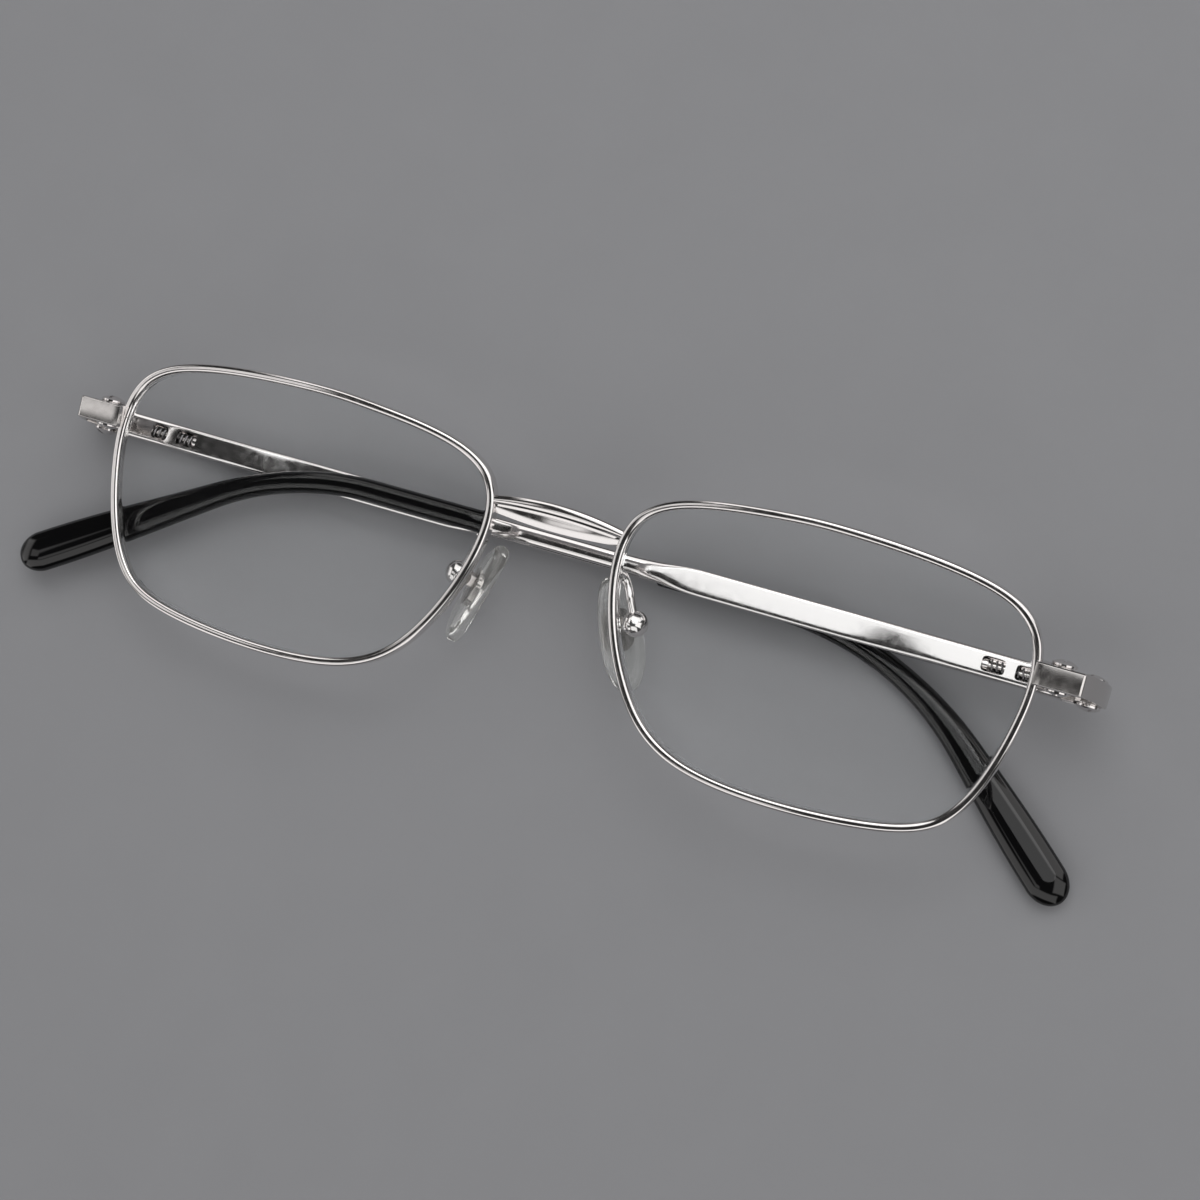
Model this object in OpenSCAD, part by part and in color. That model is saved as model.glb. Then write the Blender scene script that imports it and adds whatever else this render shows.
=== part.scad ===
// Rectangular full-rim eyeglasses in metal, folded and lying with the lenses up.
// The front is drawn in its own frame: x across, y towards the face, z up the lens.
// The wearer's left side is at +x, and the right side is its mirror image.

/* [Front] */
// Width of a lens, measured in its box
lens_w = 52.2; // [48:0.1:58]
// Height of a lens, measured in its box
lens_h = 33.7; // [31:0.1:38]
// Gap between the two lenses over the nose
bridge_gap = 17.9; // [14:0.1:20]
// Radius of the lens curve
base_r = 130; // [110:5:200]
// Angle by which each lens turns back at its temple side
wrap = 0.5; // [0:0.25:2]
// Thickness of the lens
lens_t = 1.7; // [1.4:0.1:1.9]

/* [Rim] */
// Width of the rim wire, seen from the front
rim_w = 1.15; // [1:0.05:1.5]
// Depth of the rim wire, front to back
rim_d = 2; // [1.8:0.1:2.4]
// Depth of the groove that holds the lens
groove_depth = 0.55; // [0.4:0.05:0.65]
// Width of the groove
groove_w = 0.6; // [0.5:0.05:0.8]
// Clearance of the lens tongue in the groove, on each side
lens_fit = 0.05; // [0.03:0.01:0.08]

/* [Bridge] */
// Height of the bridge strip
bridge_h = 2.1; // [1.8:0.1:2.6]
// Thickness of the bridge strip, front to back
bridge_t = 1.4; // [1.1:0.1:1.8]
// Height of the bridge's ends above the lens centre line
bridge_z = 8.8; // [7.5:0.1:9.5]
// Rise of the bridge at its middle
bridge_rise = 1; // [0.4:0.1:1.6]
// How much deeper the bridge's lower face is at the middle than at its ends
bridge_drop = 1.4; // [0.6:0.1:1.8]

/* [End pieces] */
// Height of the end piece
end_h = 2.8; // [2.6:0.1:3.2]
// Thickness of the end piece strip
end_t = 1; // [0.8:0.05:1.2]
// Thickness of the end piece in front of the rim lock
end_block_t = 2; // [1.4:0.05:2.2]
// Height of the end piece above the lens centre line
end_z = 6.75; // [6:0.05:7.2]
// Reach of the front face beyond the rim
end_reach = 4.95; // [4:0.05:6]
// Angle of the sharp corner before the strip sweeps back
corner_turn = 60; // [55:1:63]
// Distance from the front face back to the hinge axis
hinge_back = 9; // [8:0.1:9.6]
// Tilt of the temples against the front
panto = 9; // [6:0.5:11]

/* [Screws] */
// Diameter of the domed screw heads and cap nuts
head_d = 3.1; // [2.8:0.05:3.1]
// Height of the domed heads
head_h = 0.8; // [0.5:0.05:0.9]
// Diameter of the rim lock screw
lock_screw_d = 1.1; // [1:0.05:1.3]
// Diameter of the hinge screw
hinge_screw_d = 1.2; // [1:0.05:1.4]
// Radial clearance of the screws in their bores
screw_fit = 0.03; // [0.02:0.01:0.05]

/* [Spring hinge] */
// Diameter of the hinge knuckles
knuckle_d = 3; // [2.8:0.05:3.1]
// Thickness of the eye between the knuckles
eye_t = 1.32; // [1.2:0.02:1.4]
// Clearance above and below the eye
eye_fit = 0.04; // [0.03:0.01:0.06]
// Travel of the spring hinge
spring_travel = 1; // [0.6:0.1:1.2]
// Diameter of the slider rod
rod_d = 0.8; // [0.7:0.05:0.9]
// Diameter of the spring channel in the temple
channel_d = 1.96; // [1.9:0.02:2]
// Length of the coil spring
spring_len = 6.1; // [5.5:0.1:6.5]
// Turns of the coil spring
spring_turns = 9; // [7:1:10]
// Wire diameter of the coil spring
spring_wire = 0.26; // [0.2:0.01:0.28]

/* [Temples] */
// Length of the temple, measured along it
temple_len = 146; // [135:1:152]
// Length from the hinge to the start of the ear bend
bend_at = 94.3; // [90:0.1:102]
// Radius of the ear bend
bend_r = 41.3; // [25:0.1:50]
// Angle of the left temple's ear bend
left_bend = 32; // [28:1:44]
// Angle of the right temple's ear bend
right_bend = 42; // [28:1:44]
// Height of the wide part of the temple bar
bar_h = 3.4; // [3.2:0.05:3.6]
// Thickness of the bar over the spring housing
bar_t = 2.85; // [2.8:0.05:3]
// Length of the spring housing
housing_len = 17; // [16.5:0.5:20]
// Length from the hinge to the end of the wide part
wide_to = 49; // [44:1:54]
// Height of the narrow part of the bar
neck_h = 2.3; // [2:0.1:2.6]
// Thickness of the narrow part of the bar
neck_t = 1.3; // [1.1:0.05:1.6]
// Length from the hinge to the start of the sleeve
sleeve_at = 79; // [74:1:84]
// Height of the sleeve's flat end
tip_h = 5.4; // [4.4:0.1:6]
// Thickness of the sleeve's flat end
tip_t = 2.9; // [2.4:0.1:3.2]
// Height of the core wire inside the sleeve
core_h = 1.5; // [1.2:0.1:1.8]
// Thickness of the core wire inside the sleeve
core_t = 1; // [0.8:0.05:1.2]

/* [Nose pads] */
// Length of a nose pad
pad_len = 15; // [13:0.5:16]
// Width of a nose pad
pad_w = 6.8; // [6:0.1:8]
// Thickness of a nose pad
pad_t = 2.4; // [2:0.1:2.8]
// Turn of the pads about the upright axis
pad_splay = 30; // [26:1:40]
// Lean of the pads towards each other at the top
pad_tilt = 22; // [16:1:24]
// Lean of the pads' lower ends towards the face
pad_rake = 13; // [8:1:15]
// Diameter of the round box that holds the pad
box_d = 3.4; // [3.2:0.1:3.8]
// Diameter of the pad arm wire
arm_d = 1.1; // [0.9:0.05:1.2]

/* [Folded pose] */
// Angle that the folded left temple stands off the front
left_stand_off = -0.5; // [-1:0.1:0]
// Angle that the folded right temple stands off the front
right_stand_off = 2.5; // [2.3:0.1:2.6]
// Roll of the folded glasses about the upright axis of the front
rest_roll = 2; // [0:0.1:5]
// Pitch of the folded glasses down onto the temple tips
rest_pitch = -1; // [-4:0.1:4]

/* [Hidden] */
$fn = 48;

LEFT = 1;
RIGHT = -1;

steel = [0.82, 0.82, 0.84];
satin = [0.66, 0.66, 0.67];
glass = [0.85, 0.9, 0.92, 0.4];
clear = [0.9, 0.9, 0.88, 0.6];
black = [0.06, 0.06, 0.07];

// Overlap of two brazed pieces
braze = 0.12;
// Gap between faces that meet when a temple opens
butt_gap = 0.06;
// Kerf between the two halves of the rim lock
lock_kerf = 0.1;

// Small helpers

function lerp(a, b, f) = a + (b - a) * f;
function clamp01(f) = min(1, max(0, f));
function ease(f) = let (g = clamp01(f)) g * g * (3 - 2 * g);
function cubic_weights(f) = [
  pow(1 - f, 3) / 6, (3 * pow(f, 3) - 6 * f * f + 4) / 6,
  (-3 * pow(f, 3) + 3 * f * f + 3 * f + 1) / 6, pow(f, 3) / 6
];
function mod(i, n) = (i % n + n) % n;

// A point on the closed smooth curve steered by the points c, for t from 0 to 1
function closed_curve(c, t) =
  let (
    n = len(c),
    k = floor(t * n),
    w = cubic_weights(t * n - k)
  )
  w[0] * c[mod(k - 1, n)] + w[1] * c[mod(k, n)] + w[2] * c[mod(k + 1, n)] + w[3] * c[mod(k + 2, n)];

// A point on the open smooth curve that starts and ends at the ends of c
function open_curve(c, t) =
  let (
    n = len(c),
    p = concat([2 * c[0] - c[1]], c, [2 * c[n - 1] - c[n - 2]]),
    k = min(n - 2, floor(t * (n - 1))),
    w = cubic_weights(t * (n - 1) - k)
  )
  w[0] * p[k] + w[1] * p[k + 1] + w[2] * p[k + 2] + w[3] * p[k + 3];

// A closed solid through rings that all have the same number of points,
// with each end closed by convex pieces where the section isn't convex
module loft(rings, pieces = undef) {
  n = len(rings[0]);
  m = len(rings);
  cap = is_undef(pieces) ? [[for (j = [0:n - 1]) j]] : pieces;
  points = [for (r = rings) for (p = r) p];
  sides = [
    for (i = [0:m - 2]) for (j = [0:n - 1])
      let (a = i * n + j, b = i * n + (j + 1) % n)
        each [[a, b, b + n], [a, b + n, a + n]]
  ];
  caps = [
    for (c = cap)
      each [[for (k = [len(c) - 1:-1:0]) c[k]], [for (j = c) (m - 1) * n + j]]
  ];
  polyhedron(points, concat(sides, caps), convexity = 8);
}

// A rounded section with half sizes a and b, rounder as e falls to 2
function section(a, b, e, n = 16) = [
  for (i = [0:n - 1])
    let (
      q = 360 * (i + 0.5) / n,
      c = cos(q),
      s = sin(q)
    )
    [a * sign(c) * pow(abs(c), 2 / e), b * sign(s) * pow(abs(s), 2 / e)]
];

module on_side(side) {
  if (side == LEFT) children();
  else mirror([1, 0, 0]) children();
}

// Lens outline

// Steering points of the outline, as shares of the half width and half height,
// towards the temple first
outline_steer = [
  [0.974, 0.019], [1, 0.418], [0.895, 0.891], [-0.007, 0.983], [-0.27, 0.952],
  [-0.69, 0.894], [-0.997, 0.7], [-0.998, 0.131], [-0.823, -0.531], [-0.513, -1.045],
  [0.549, -0.971], [0.792, -0.778], [0.907, -0.402]
];
outline_steps = 8 * len(outline_steer);
raw_outline = [for (i = [0:outline_steps - 1]) closed_curve(outline_steer, i / outline_steps)];
raw_low = [for (k = [0, 1]) min([for (p = raw_outline) p[k]])];
raw_high = [for (k = [0, 1]) max([for (p = raw_outline) p[k]])];

// A point of the lens outline in the lens's own plane, for t from 0 to 1
function outline_at(t) =
  let (p = closed_curve(outline_steer, t - floor(t)))
  [
    lens_w * ((p[0] - raw_low[0]) / (raw_high[0] - raw_low[0]) - 0.5),
    lens_h * ((p[1] - raw_low[1]) / (raw_high[1] - raw_low[1]) - 0.5)
  ];
function outline_normal(t) =
  let (
    h = 0.002,
    d = outline_at(t + h) - outline_at(t - h),
    u = d / norm(d)
  )
  [u[1], -u[0]];
// Depth of the curved lens at a point of its plane
function sag(p) = base_r - sqrt(base_r * base_r - p * p);

// The outline crosses the middle of the end piece between these two places
function find_height(z, low, high, steps = 24) =
  steps == 0 ? (low + high) / 2
  : let (m = (low + high) / 2)
    outline_at(m)[1] < z ? find_height(z, m, high, steps - 1) : find_height(z, low, m, steps - 1);
split_t = find_height(end_z, 0, 1.6 / len(outline_steer));
split_low_t = find_height(end_z - lock_kerf / 2, 0, 1.6 / len(outline_steer));
split_high_t = find_height(end_z + lock_kerf / 2, 0, 1.6 / len(outline_steer));

lens_centre = (bridge_gap + lens_w) / 2;

// Places a lens's own plane in the front's frame
module lens_plane(side) {
  on_side(side) translate([lens_centre, 0, 0]) rotate([0, 0, wrap]) children();
}
function from_lens_plane(u, y) = [
  lens_centre + u * cos(wrap) - y * sin(wrap), u * sin(wrap) + y * cos(wrap)
];

// Rim

rim_inside = -(groove_depth - 2 * lens_fit);
rim_outside = rim_inside + rim_w;
rim_chamfer = 0.28;
rim_lip = 0.15;
rim_section = [
  [rim_inside, rim_lip - rim_d / 2], [rim_inside + rim_lip, -rim_d / 2],
  [rim_outside - rim_chamfer, -rim_d / 2], [rim_outside, rim_chamfer - rim_d / 2],
  [rim_outside, rim_d / 2 - rim_chamfer], [rim_outside - rim_chamfer, rim_d / 2],
  [rim_inside + rim_lip, rim_d / 2], [rim_inside, rim_d / 2 - rim_lip],
  [rim_inside, groove_w / 2], [2 * lens_fit, groove_w / 2],
  [2 * lens_fit, -groove_w / 2], [rim_inside, -groove_w / 2]
];
// Convex pieces of the section: the front lip, the web and the back lip
rim_pieces = [[0, 1, 2, 3, 10, 11], [3, 4, 9, 10], [4, 5, 6, 7, 8, 9]];

// The rim is a grooved wire, open where the rim lock closes it
module rim(side) {
  steps = outline_steps;
  color(steel) lens_plane(side) loft([
    for (i = [0:steps])
      let (
        t = lerp(split_low_t + 1, split_high_t, i / steps),
        p = outline_at(t),
        n = outline_normal(t),
        slope = (p * n) / (base_r - sag(p))
      )
      [for (q = rim_section)
        [p[0] + n[0] * q[0], sag(p) + slope * q[0] + q[1], p[1] + n[1] * q[0]]]
  ], rim_pieces);
}

// Lens

module outline_prism(inset) {
  rotate([90, 0, 0]) translate([0, 0, -base_r / 4]) linear_extrude(base_r / 2)
    polygon([
      for (i = [0:outline_steps - 1])
        outline_at(i / outline_steps) - inset * outline_normal(i / outline_steps)
    ]);
}

module curved_sheet(thickness) {
  translate([0, base_r, 0]) difference() {
    sphere(r = base_r + thickness / 2, $fn = 240);
    sphere(r = base_r - thickness / 2, $fn = 240);
  }
}

// The lens is a curved sheet with a thin tongue that sits in the rim's groove
module lens(side) {
  body_inset = groove_depth;
  color(glass) lens_plane(side) union() {
    intersection() {
      outline_prism(body_inset);
      curved_sheet(lens_t);
    }
    intersection() {
      outline_prism(0);
      curved_sheet(groove_w - 2 * lens_fit);
    }
  }
}

// Bridge

bridge_y = sag([lens_w / 2, 0]) - 0.1;
bridge_bow = 0.6;
bridge_end_t = find_bridge_end(bridge_z, 0.36, 0.55);
function find_bridge_end(z, low, high, steps = 24) =
  steps == 0 ? (low + high) / 2
  : let (m = (low + high) / 2)
    outline_at(m)[1] > z ? find_bridge_end(z, m, high, steps - 1)
    : find_bridge_end(z, low, m, steps - 1);
bridge_end_u = outline_at(bridge_end_t)[0] - rim_outside;
bridge_half = from_lens_plane(bridge_end_u, bridge_y)[0] + braze + 0.1;

// The bridge is an arched strip with a rounded upper band and a hollow lower face
module bridge() {
  h = bridge_h / 2;
  t = bridge_t / 2;
  face = [
    [-0.45 * t, h], [0.45 * t, h], [t, 0.6 * h], [t, -0.7 * h], [0.6 * t, -h],
    [-0.2 * t, -h], [-0.5 * t, -0.5 * h], [-0.55 * t, -0.05 * h], [-t, 0.15 * h], [-t, 0.65 * h]
  ];
  steps = 20;
  color(steel) loft([
    for (i = [0:steps])
      let (
        f = i / steps,
        x = lerp(-bridge_half, bridge_half, f),
        k = 1 - pow(2 * f - 1, 2),
        lean = atan2(-4 * bridge_rise * (2 * f - 1), 2 * bridge_half)
      )
      [for (q = face)
        let (v = q[1] - bridge_drop * k * clamp01((0.65 * h - q[1]) / (1.65 * h)))
        [x - v * sin(lean), bridge_y - bridge_bow * k + q[0],
          bridge_z + bridge_rise * k + v * cos(lean)]]
  ]);
}

// End piece: a strip that runs across the rim, turns a corner and sweeps back

rim_edge_x = from_lens_plane(outline_at(split_t)[0] + rim_outside, sag(outline_at(split_t)))[0];
rim_front_y = from_lens_plane(outline_at(split_t)[0], sag(outline_at(split_t)))[1] - rim_d / 2;
// Step of the strip in front of the rim, and its lap over it
end_step = 1.45;
end_lap = 0.55;
end_front_y = rim_front_y - end_step;
end_x0 = rim_edge_x - end_lap;
corner_x = rim_edge_x + end_reach;
// The rim lock's barrel stands behind the thick part, which ends a little past it
lock_r = 1.15;
lock_reach = 2.35;
end_block_x = rim_edge_x + lock_reach + lock_r;
corner_r = 0.6;
hinge_y = end_front_y + hinge_back;
sweep_x0 = corner_x + corner_r * sin(corner_turn);
sweep_y0 = end_front_y + corner_r * (1 - cos(corner_turn));
sweep_r = (hinge_y - sweep_y0) / cos(corner_turn);
outer_x = sweep_x0 + sweep_r * (1 - sin(corner_turn));

// Distance from the hinge axis to the temple's outer face, with its relief for the knuckles
knuckle_gap = 0.12;
relief_r = knuckle_d / 2 + knuckle_gap;
wall_t = 0.53;
outer_off = relief_r + wall_t;
hinge_x = outer_x - outer_off;
hinge_z = end_z - (hinge_y - end_front_y - end_block_t / 2) * tan(panto);

// Rings of the end piece: outer face point, heading of the strip, thickness and backward lean
end_rings = concat(
  [for (x = [end_x0, (end_x0 + end_block_x) / 2, end_block_x]) [x, end_front_y, 0, end_block_t, 0]],
  [[corner_x, end_front_y, 0, end_t, 0]],
  [for (i = [1:5]) let (a = corner_turn * i / 5)
    [corner_x + corner_r * sin(a), end_front_y + corner_r * (1 - cos(a)), a, end_t, 0]],
  [for (i = [1:8]) let (f = i / 8, a = lerp(corner_turn, 90, f))
    [sweep_x0 + sweep_r * (sin(a) - sin(corner_turn)),
     sweep_y0 + sweep_r * (cos(corner_turn) - cos(a)) - (i == 8 ? butt_gap / 2 : 0),
     a, lerp(end_t, wall_t, f), panto * ease(f)]]
);

module end_piece(side) {
  c = 0.16;
  h = end_h / 2;
  color(steel) on_side(side) loft([
    for (r = end_rings)
      let (
        t = r[3],
        fall = max(0, r[1] - end_front_y - end_block_t / 2) * tan(panto),
        inward = [-sin(r[2]), cos(r[2])],
        edge = [[0, h - c], [c, h], [t - c, h], [t, h - c], [t, c - h], [t - c, -h], [c, -h], [0, c - h]]
      )
      [for (q = edge)
        [r[0] + inward[0] * q[0],
         r[1] + inward[1] * q[0] + q[1] * sin(r[4]),
         end_z - fall + q[1] * cos(r[4])]]
  ]);
}

// Domed screws and cap nuts, drawn along z with the seat of the head at z = 0

module dome(d, h) {
  rise = h * 0.6;
  r = (d * d / 4 + rise * rise) / (2 * rise);
  intersection() {
    cylinder(d = d, h = h);
    translate([0, 0, h - r]) sphere(r = r, $fn = 96);
  }
}

module screw(shank_d, shank_len) {
  slot_w = 0.32;
  slot_depth = 0.24;
  difference() {
    union() {
      dome(head_d, head_h);
      translate([0, 0, -shank_len]) cylinder(d = shank_d, h = shank_len);
    }
    translate([-head_d, -slot_w / 2, head_h - slot_depth]) cube([2 * head_d, slot_w, head_h]);
  }
}

module cap_nut(bore_d, bore_depth) {
  mirror([0, 0, 1]) difference() {
    dome(head_d, head_h);
    translate([0, 0, -head_h]) cylinder(d = bore_d, h = head_h + bore_depth);
  }
}

nut_bore_depth = head_h * 0.6;
nut_fit = 0.01;

// Rim lock: two blocks brazed to the rim's ends and drawn together by a screw

lock_y0 = end_front_y + end_block_t;
lock_y = lock_y0 + lock_r;
lock_x = rim_edge_x + lock_reach;
lock_h = (end_h - lock_kerf) / 2;

module lock_axis(side) {
  on_side(side) translate([lock_x, lock_y, end_z]) children();
}

module lock_block(side) {
  color(satin) lock_axis(side) difference() {
    linear_extrude(lock_h) union() {
      circle(r = lock_r);
      translate([rim_edge_x - braze - lock_x, -lock_r]) square([lock_x - rim_edge_x + braze, 2 * lock_r]);
    }
    translate([0, 0, -lock_h]) cylinder(d = lock_screw_d + 2 * screw_fit, h = 3 * lock_h);
  }
}

module rim_lock_upper(side) { translate([0, 0, lock_kerf / 2]) lock_block(side); }
module rim_lock_lower(side) { translate([0, 0, -lock_kerf / 2 - lock_h]) lock_block(side); }

module rim_lock_screw(side) {
  color(steel) lock_axis(side) translate([0, 0, end_h / 2])
    screw(lock_screw_d, end_h + nut_bore_depth);
}

module rim_lock_nut(side) {
  color(steel) lock_axis(side) translate([0, 0, -end_h / 2])
    cap_nut(lock_screw_d + 2 * nut_fit, nut_bore_depth);
}

// Hinge: the axis leans back with the temples

slot_h = eye_t + 2 * eye_fit;
hinge_h = end_h + 0.1;

module hinge_axis(side) {
  on_side(side) translate([hinge_x, hinge_y, hinge_z]) rotate([-panto, 0, 0]) children();
}

// The strip's inner face, seen from the hinge axis, at a distance forward of it
function strip_inside(back) =
  let (
    a = acos(cos(corner_turn) - (hinge_y - back - sweep_y0) / sweep_r),
    f = (a - corner_turn) / (90 - corner_turn)
  )
  sweep_x0 + sweep_r * (sin(a) - sin(corner_turn)) - lerp(end_t, wall_t, f) * sin(a) - hinge_x;

module hinge_block(side) {
  leaf_len = 3.1;
  web_gap = 0.12;
  color(satin) hinge_axis(side) difference() {
    translate([0, 0, -hinge_h / 2]) linear_extrude(hinge_h) union() {
      circle(d = knuckle_d);
      polygon([
        [-knuckle_d / 2, 0], [-knuckle_d / 2, -0.6 * leaf_len], [-knuckle_d / 4, -leaf_len],
        [strip_inside(leaf_len) + braze, -leaf_len], [strip_inside(leaf_len / 2) + braze, -leaf_len / 2],
        [strip_inside(0.35) + braze, -0.35], [knuckle_d / 2, 0]
      ]);
    }
    translate([0, 0, -slot_h / 2]) cylinder(r = relief_r, h = slot_h);
    translate([-relief_r, 0, -slot_h / 2]) cube([2 * relief_r, relief_r, slot_h]);
    translate([0, 0, -hinge_h]) cylinder(d = hinge_screw_d + 2 * screw_fit, h = 2 * hinge_h);
    translate([-relief_r, -relief_r - web_gap, -slot_h / 2]) cube([relief_r, relief_r, slot_h]);
  }
}

module hinge_screw(side) {
  color(steel) hinge_axis(side) translate([0, 0, hinge_h / 2])
    screw(hinge_screw_d, hinge_h + nut_bore_depth);
}

module hinge_nut(side) {
  color(steel) hinge_axis(side) translate([0, 0, -hinge_h / 2])
    cap_nut(hinge_screw_d + 2 * nut_fit, nut_bore_depth);
}

// Temple frame: y runs along the open temple, x towards its outer face
module temple_frame(side) {
  hinge_axis(side)
    rotate([0, 0, 90 - (side == LEFT ? left_stand_off : right_stand_off)]) children();
}

// Spring hinge inside the temple

rod_inset = 0.08;
shoulder_gap = 0.08;
shoulder_len = 1.5;
wall_fit = 0.05;
bush_depth = 1.7;
bush_len = 1.6;
rod_x = outer_off - bar_t / 2 - rod_inset;
shoulder_y0 = relief_r + shoulder_gap;
shoulder_y1 = shoulder_y0 + shoulder_len;
housing_y0 = shoulder_y1 + wall_fit;
bush_y0 = housing_y0 + bush_depth;
spring_y0 = bush_y0 + bush_len + 0.02;
slider_nut_y0 = spring_y0 + spring_len + 0.02;
slider_nut_len = 1.3;
rod_end = slider_nut_y0 + slider_nut_len;
rod_play = 0.6;
channel_end = rod_end + rod_play;

module along_rod(y) {
  translate([rod_x, y, 0]) rotate([-90, 0, 0]) children();
}

module hinge_slider(side) {
  eye_r = knuckle_d / 2 - 0.06;
  inner_x = outer_off - bar_t;
  color(steel) temple_frame(side) union() {
    difference() {
      translate([0, 0, -eye_t / 2]) linear_extrude(eye_t) union() {
        circle(r = eye_r);
        translate([inner_x, 0]) square([eye_r - inner_x, shoulder_y0 + 0.5]);
      }
      translate([0, 0, -eye_t]) cylinder(d = hinge_screw_d + 2 * screw_fit, h = 2 * eye_t);
    }
    translate([inner_x, shoulder_y0, -bar_h / 2 + wall_fit])
      cube([relief_r - wall_fit - inner_x, shoulder_y1 - shoulder_y0, bar_h - 2 * wall_fit]);
    along_rod(shoulder_y1 - 0.1) cylinder(d = rod_d, h = rod_end - shoulder_y1 + 0.1);
  }
}

module slider_nut(side) {
  color(satin) temple_frame(side) along_rod(slider_nut_y0) difference() {
    cylinder(d = channel_d - 0.3, h = slider_nut_len);
    translate([0, 0, -1]) cylinder(d = rod_d + 2 * nut_fit, h = slider_nut_len + 2);
  }
}

module spring_bush(side) {
  color(satin) temple_frame(side) along_rod(bush_y0) difference() {
    cylinder(d = channel_d - 2 * nut_fit, h = bush_len);
    translate([0, 0, -1]) cylinder(d = rod_d + 2 * screw_fit, h = bush_len + 2);
  }
}

// The coil spring bears on the bush at one end and on the slider nut at the other
module hinge_spring(side) {
  coil_r = (rod_d + channel_d) / 4;
  wire_r = spring_wire / 2;
  rings_per_turn = 8;
  steps = rings_per_turn * spring_turns;
  rise = (spring_len - spring_wire) / spring_turns;
  pitch_angle = atan(rise / (2 * PI * coil_r));
  color(steel) temple_frame(side) along_rod(spring_y0 + wire_r) loft([
    for (i = [0:steps])
      let (a = 360 * i / rings_per_turn)
      [for (j = [0:5])
        let (
          q = 60 * j,
          out = wire_r * cos(q),
          up = wire_r * sin(q)
        )
        [(coil_r + out) * cos(a) + up * sin(pitch_angle) * sin(a),
         (coil_r + out) * sin(a) - up * sin(pitch_angle) * cos(a),
         rise * i / rings_per_turn + up * cos(pitch_angle)]]
  ]);
}

// Temple bar and sleeve

function bend_angle(side) = side == LEFT ? left_bend : right_bend;
function bend_len(side) = bend_r * bend_angle(side) * PI / 180;

// Place and heading of the temple's centre line, at a length s along it
function bend_heading(s, side) = bend_angle(side) * clamp01((s - bend_at) / bend_len(side));
function centre_yz(s, side) =
  let (
    a = bend_heading(s, side),
    past = max(0, s - bend_at - bend_len(side))
  )
  [min(s, bend_at) + bend_r * sin(a) + past * cos(a), -bend_r * (1 - cos(a)) - past * sin(a)];

// Length over which the bar thins behind its housing
housing_taper = 14;
// Length over which the bar narrows behind its wide part
wide_taper = 10;
// The bar keeps its outer face by the hinge, then its middle draws in towards the head
draw_in_len = 70;
draw_in_to = 0.1;
function metal_t(s) =
  s < sleeve_at ? lerp(bar_t, neck_t, ease((s - housing_len) / housing_taper)) : core_t;
function metal_h(s) =
  s < sleeve_at ? lerp(bar_h, neck_h, ease((s - wide_to) / wide_taper)) : core_h;
function centre_x(s) = lerp(outer_off - bar_t / 2, draw_in_to, ease((s - housing_len) / draw_in_len));

function temple_ring(s, outline, side) =
  let (c = centre_yz(s, side), a = bend_heading(s, side))
  [for (q = outline) [centre_x(s) + q[0], c[0] + q[1] * sin(a), c[1] + q[1] * cos(a)]];

core_end = temple_len - 6;
bar_stations = concat(
  [butt_gap / 2, 2, 4, 8, 12, housing_len],
  [for (i = [1:7]) housing_len + housing_taper * i / 7],
  [for (i = [1:3]) lerp(housing_len + housing_taper, wide_to, i / 3)],
  [for (i = [1:7]) wide_to + wide_taper * i / 7],
  [lerp(wide_to + wide_taper, sleeve_at, 0.5), sleeve_at - 0.001]
);
function core_stations(side) = concat(
  [sleeve_at, lerp(sleeve_at, bend_at, 0.5)],
  [for (i = [0:8]) bend_at + bend_len(side) * i / 8],
  [lerp(bend_at + bend_len(side), core_end, 0.5), core_end]
);

// The bar is nearly square in its wide part and round in its neck
function bar_square(s) = s < sleeve_at ? lerp(5, 2.4, ease((s - wide_to - 1) / 5)) : 5;

// Windows in the housing's inner face: start and length of each, their height and rounding
windows = [[6.9, 2.3], [10.5, 2.9]];
win_h = 1.9;
win_round = 0.4;
module window(place) {
  x = rod_x - 2 * bar_t;
  translate([x, place[0] + win_round, win_round - win_h / 2]) rotate([90, 0, 90])
    linear_extrude(2 * bar_t) offset(r = win_round, $fn = 24)
      square([place[1] - 2 * win_round, win_h - 2 * win_round]);
}

module temple_bar(side) {
  color(steel) temple_frame(side) difference() {
    loft([
      for (s = concat(bar_stations, core_stations(side)))
        temple_ring(s, section(metal_t(s) / 2, metal_h(s) / 2, bar_square(s)), side)
    ]);
    translate([relief_r - 2 * bar_t, -1, -bar_h]) cube([2 * bar_t, housing_y0 + 1, 2 * bar_h]);
    along_rod(housing_y0 - 1) cylinder(d = channel_d, h = channel_end - housing_y0 + 1);
    for (place = windows) window(place);
  }
}

// The sleeve swells from its mouth to a flat, rounded end
mouth_t = 2.4;
mouth_h = 3;
swell_from = 18;
swell_len = 44;
function sleeve_t(s) = lerp(mouth_t, tip_t, ease((s - sleeve_at) / swell_len));
function sleeve_h(s) = lerp(mouth_h, tip_h, ease((s - sleeve_at - swell_from) / swell_len));
end_round = 2.4;
function end_shrink(s) =
  let (f = clamp01((s - temple_len + end_round) / end_round)) sqrt(max(0, 1 - f * f));
function sleeve_stations(side) = concat(
  [sleeve_at, sleeve_at + 0.3, lerp(sleeve_at, bend_at, 0.35), lerp(sleeve_at, bend_at, 0.7)],
  [for (i = [0:9]) bend_at + bend_len(side) * i / 9],
  [for (i = [1:4]) lerp(bend_at + bend_len(side), temple_len - end_round, i / 4)],
  [for (i = [1:6]) temple_len - end_round * (1 - sin(90 * i / 6.4))]
);
sleeve_fit = 0.02;

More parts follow.
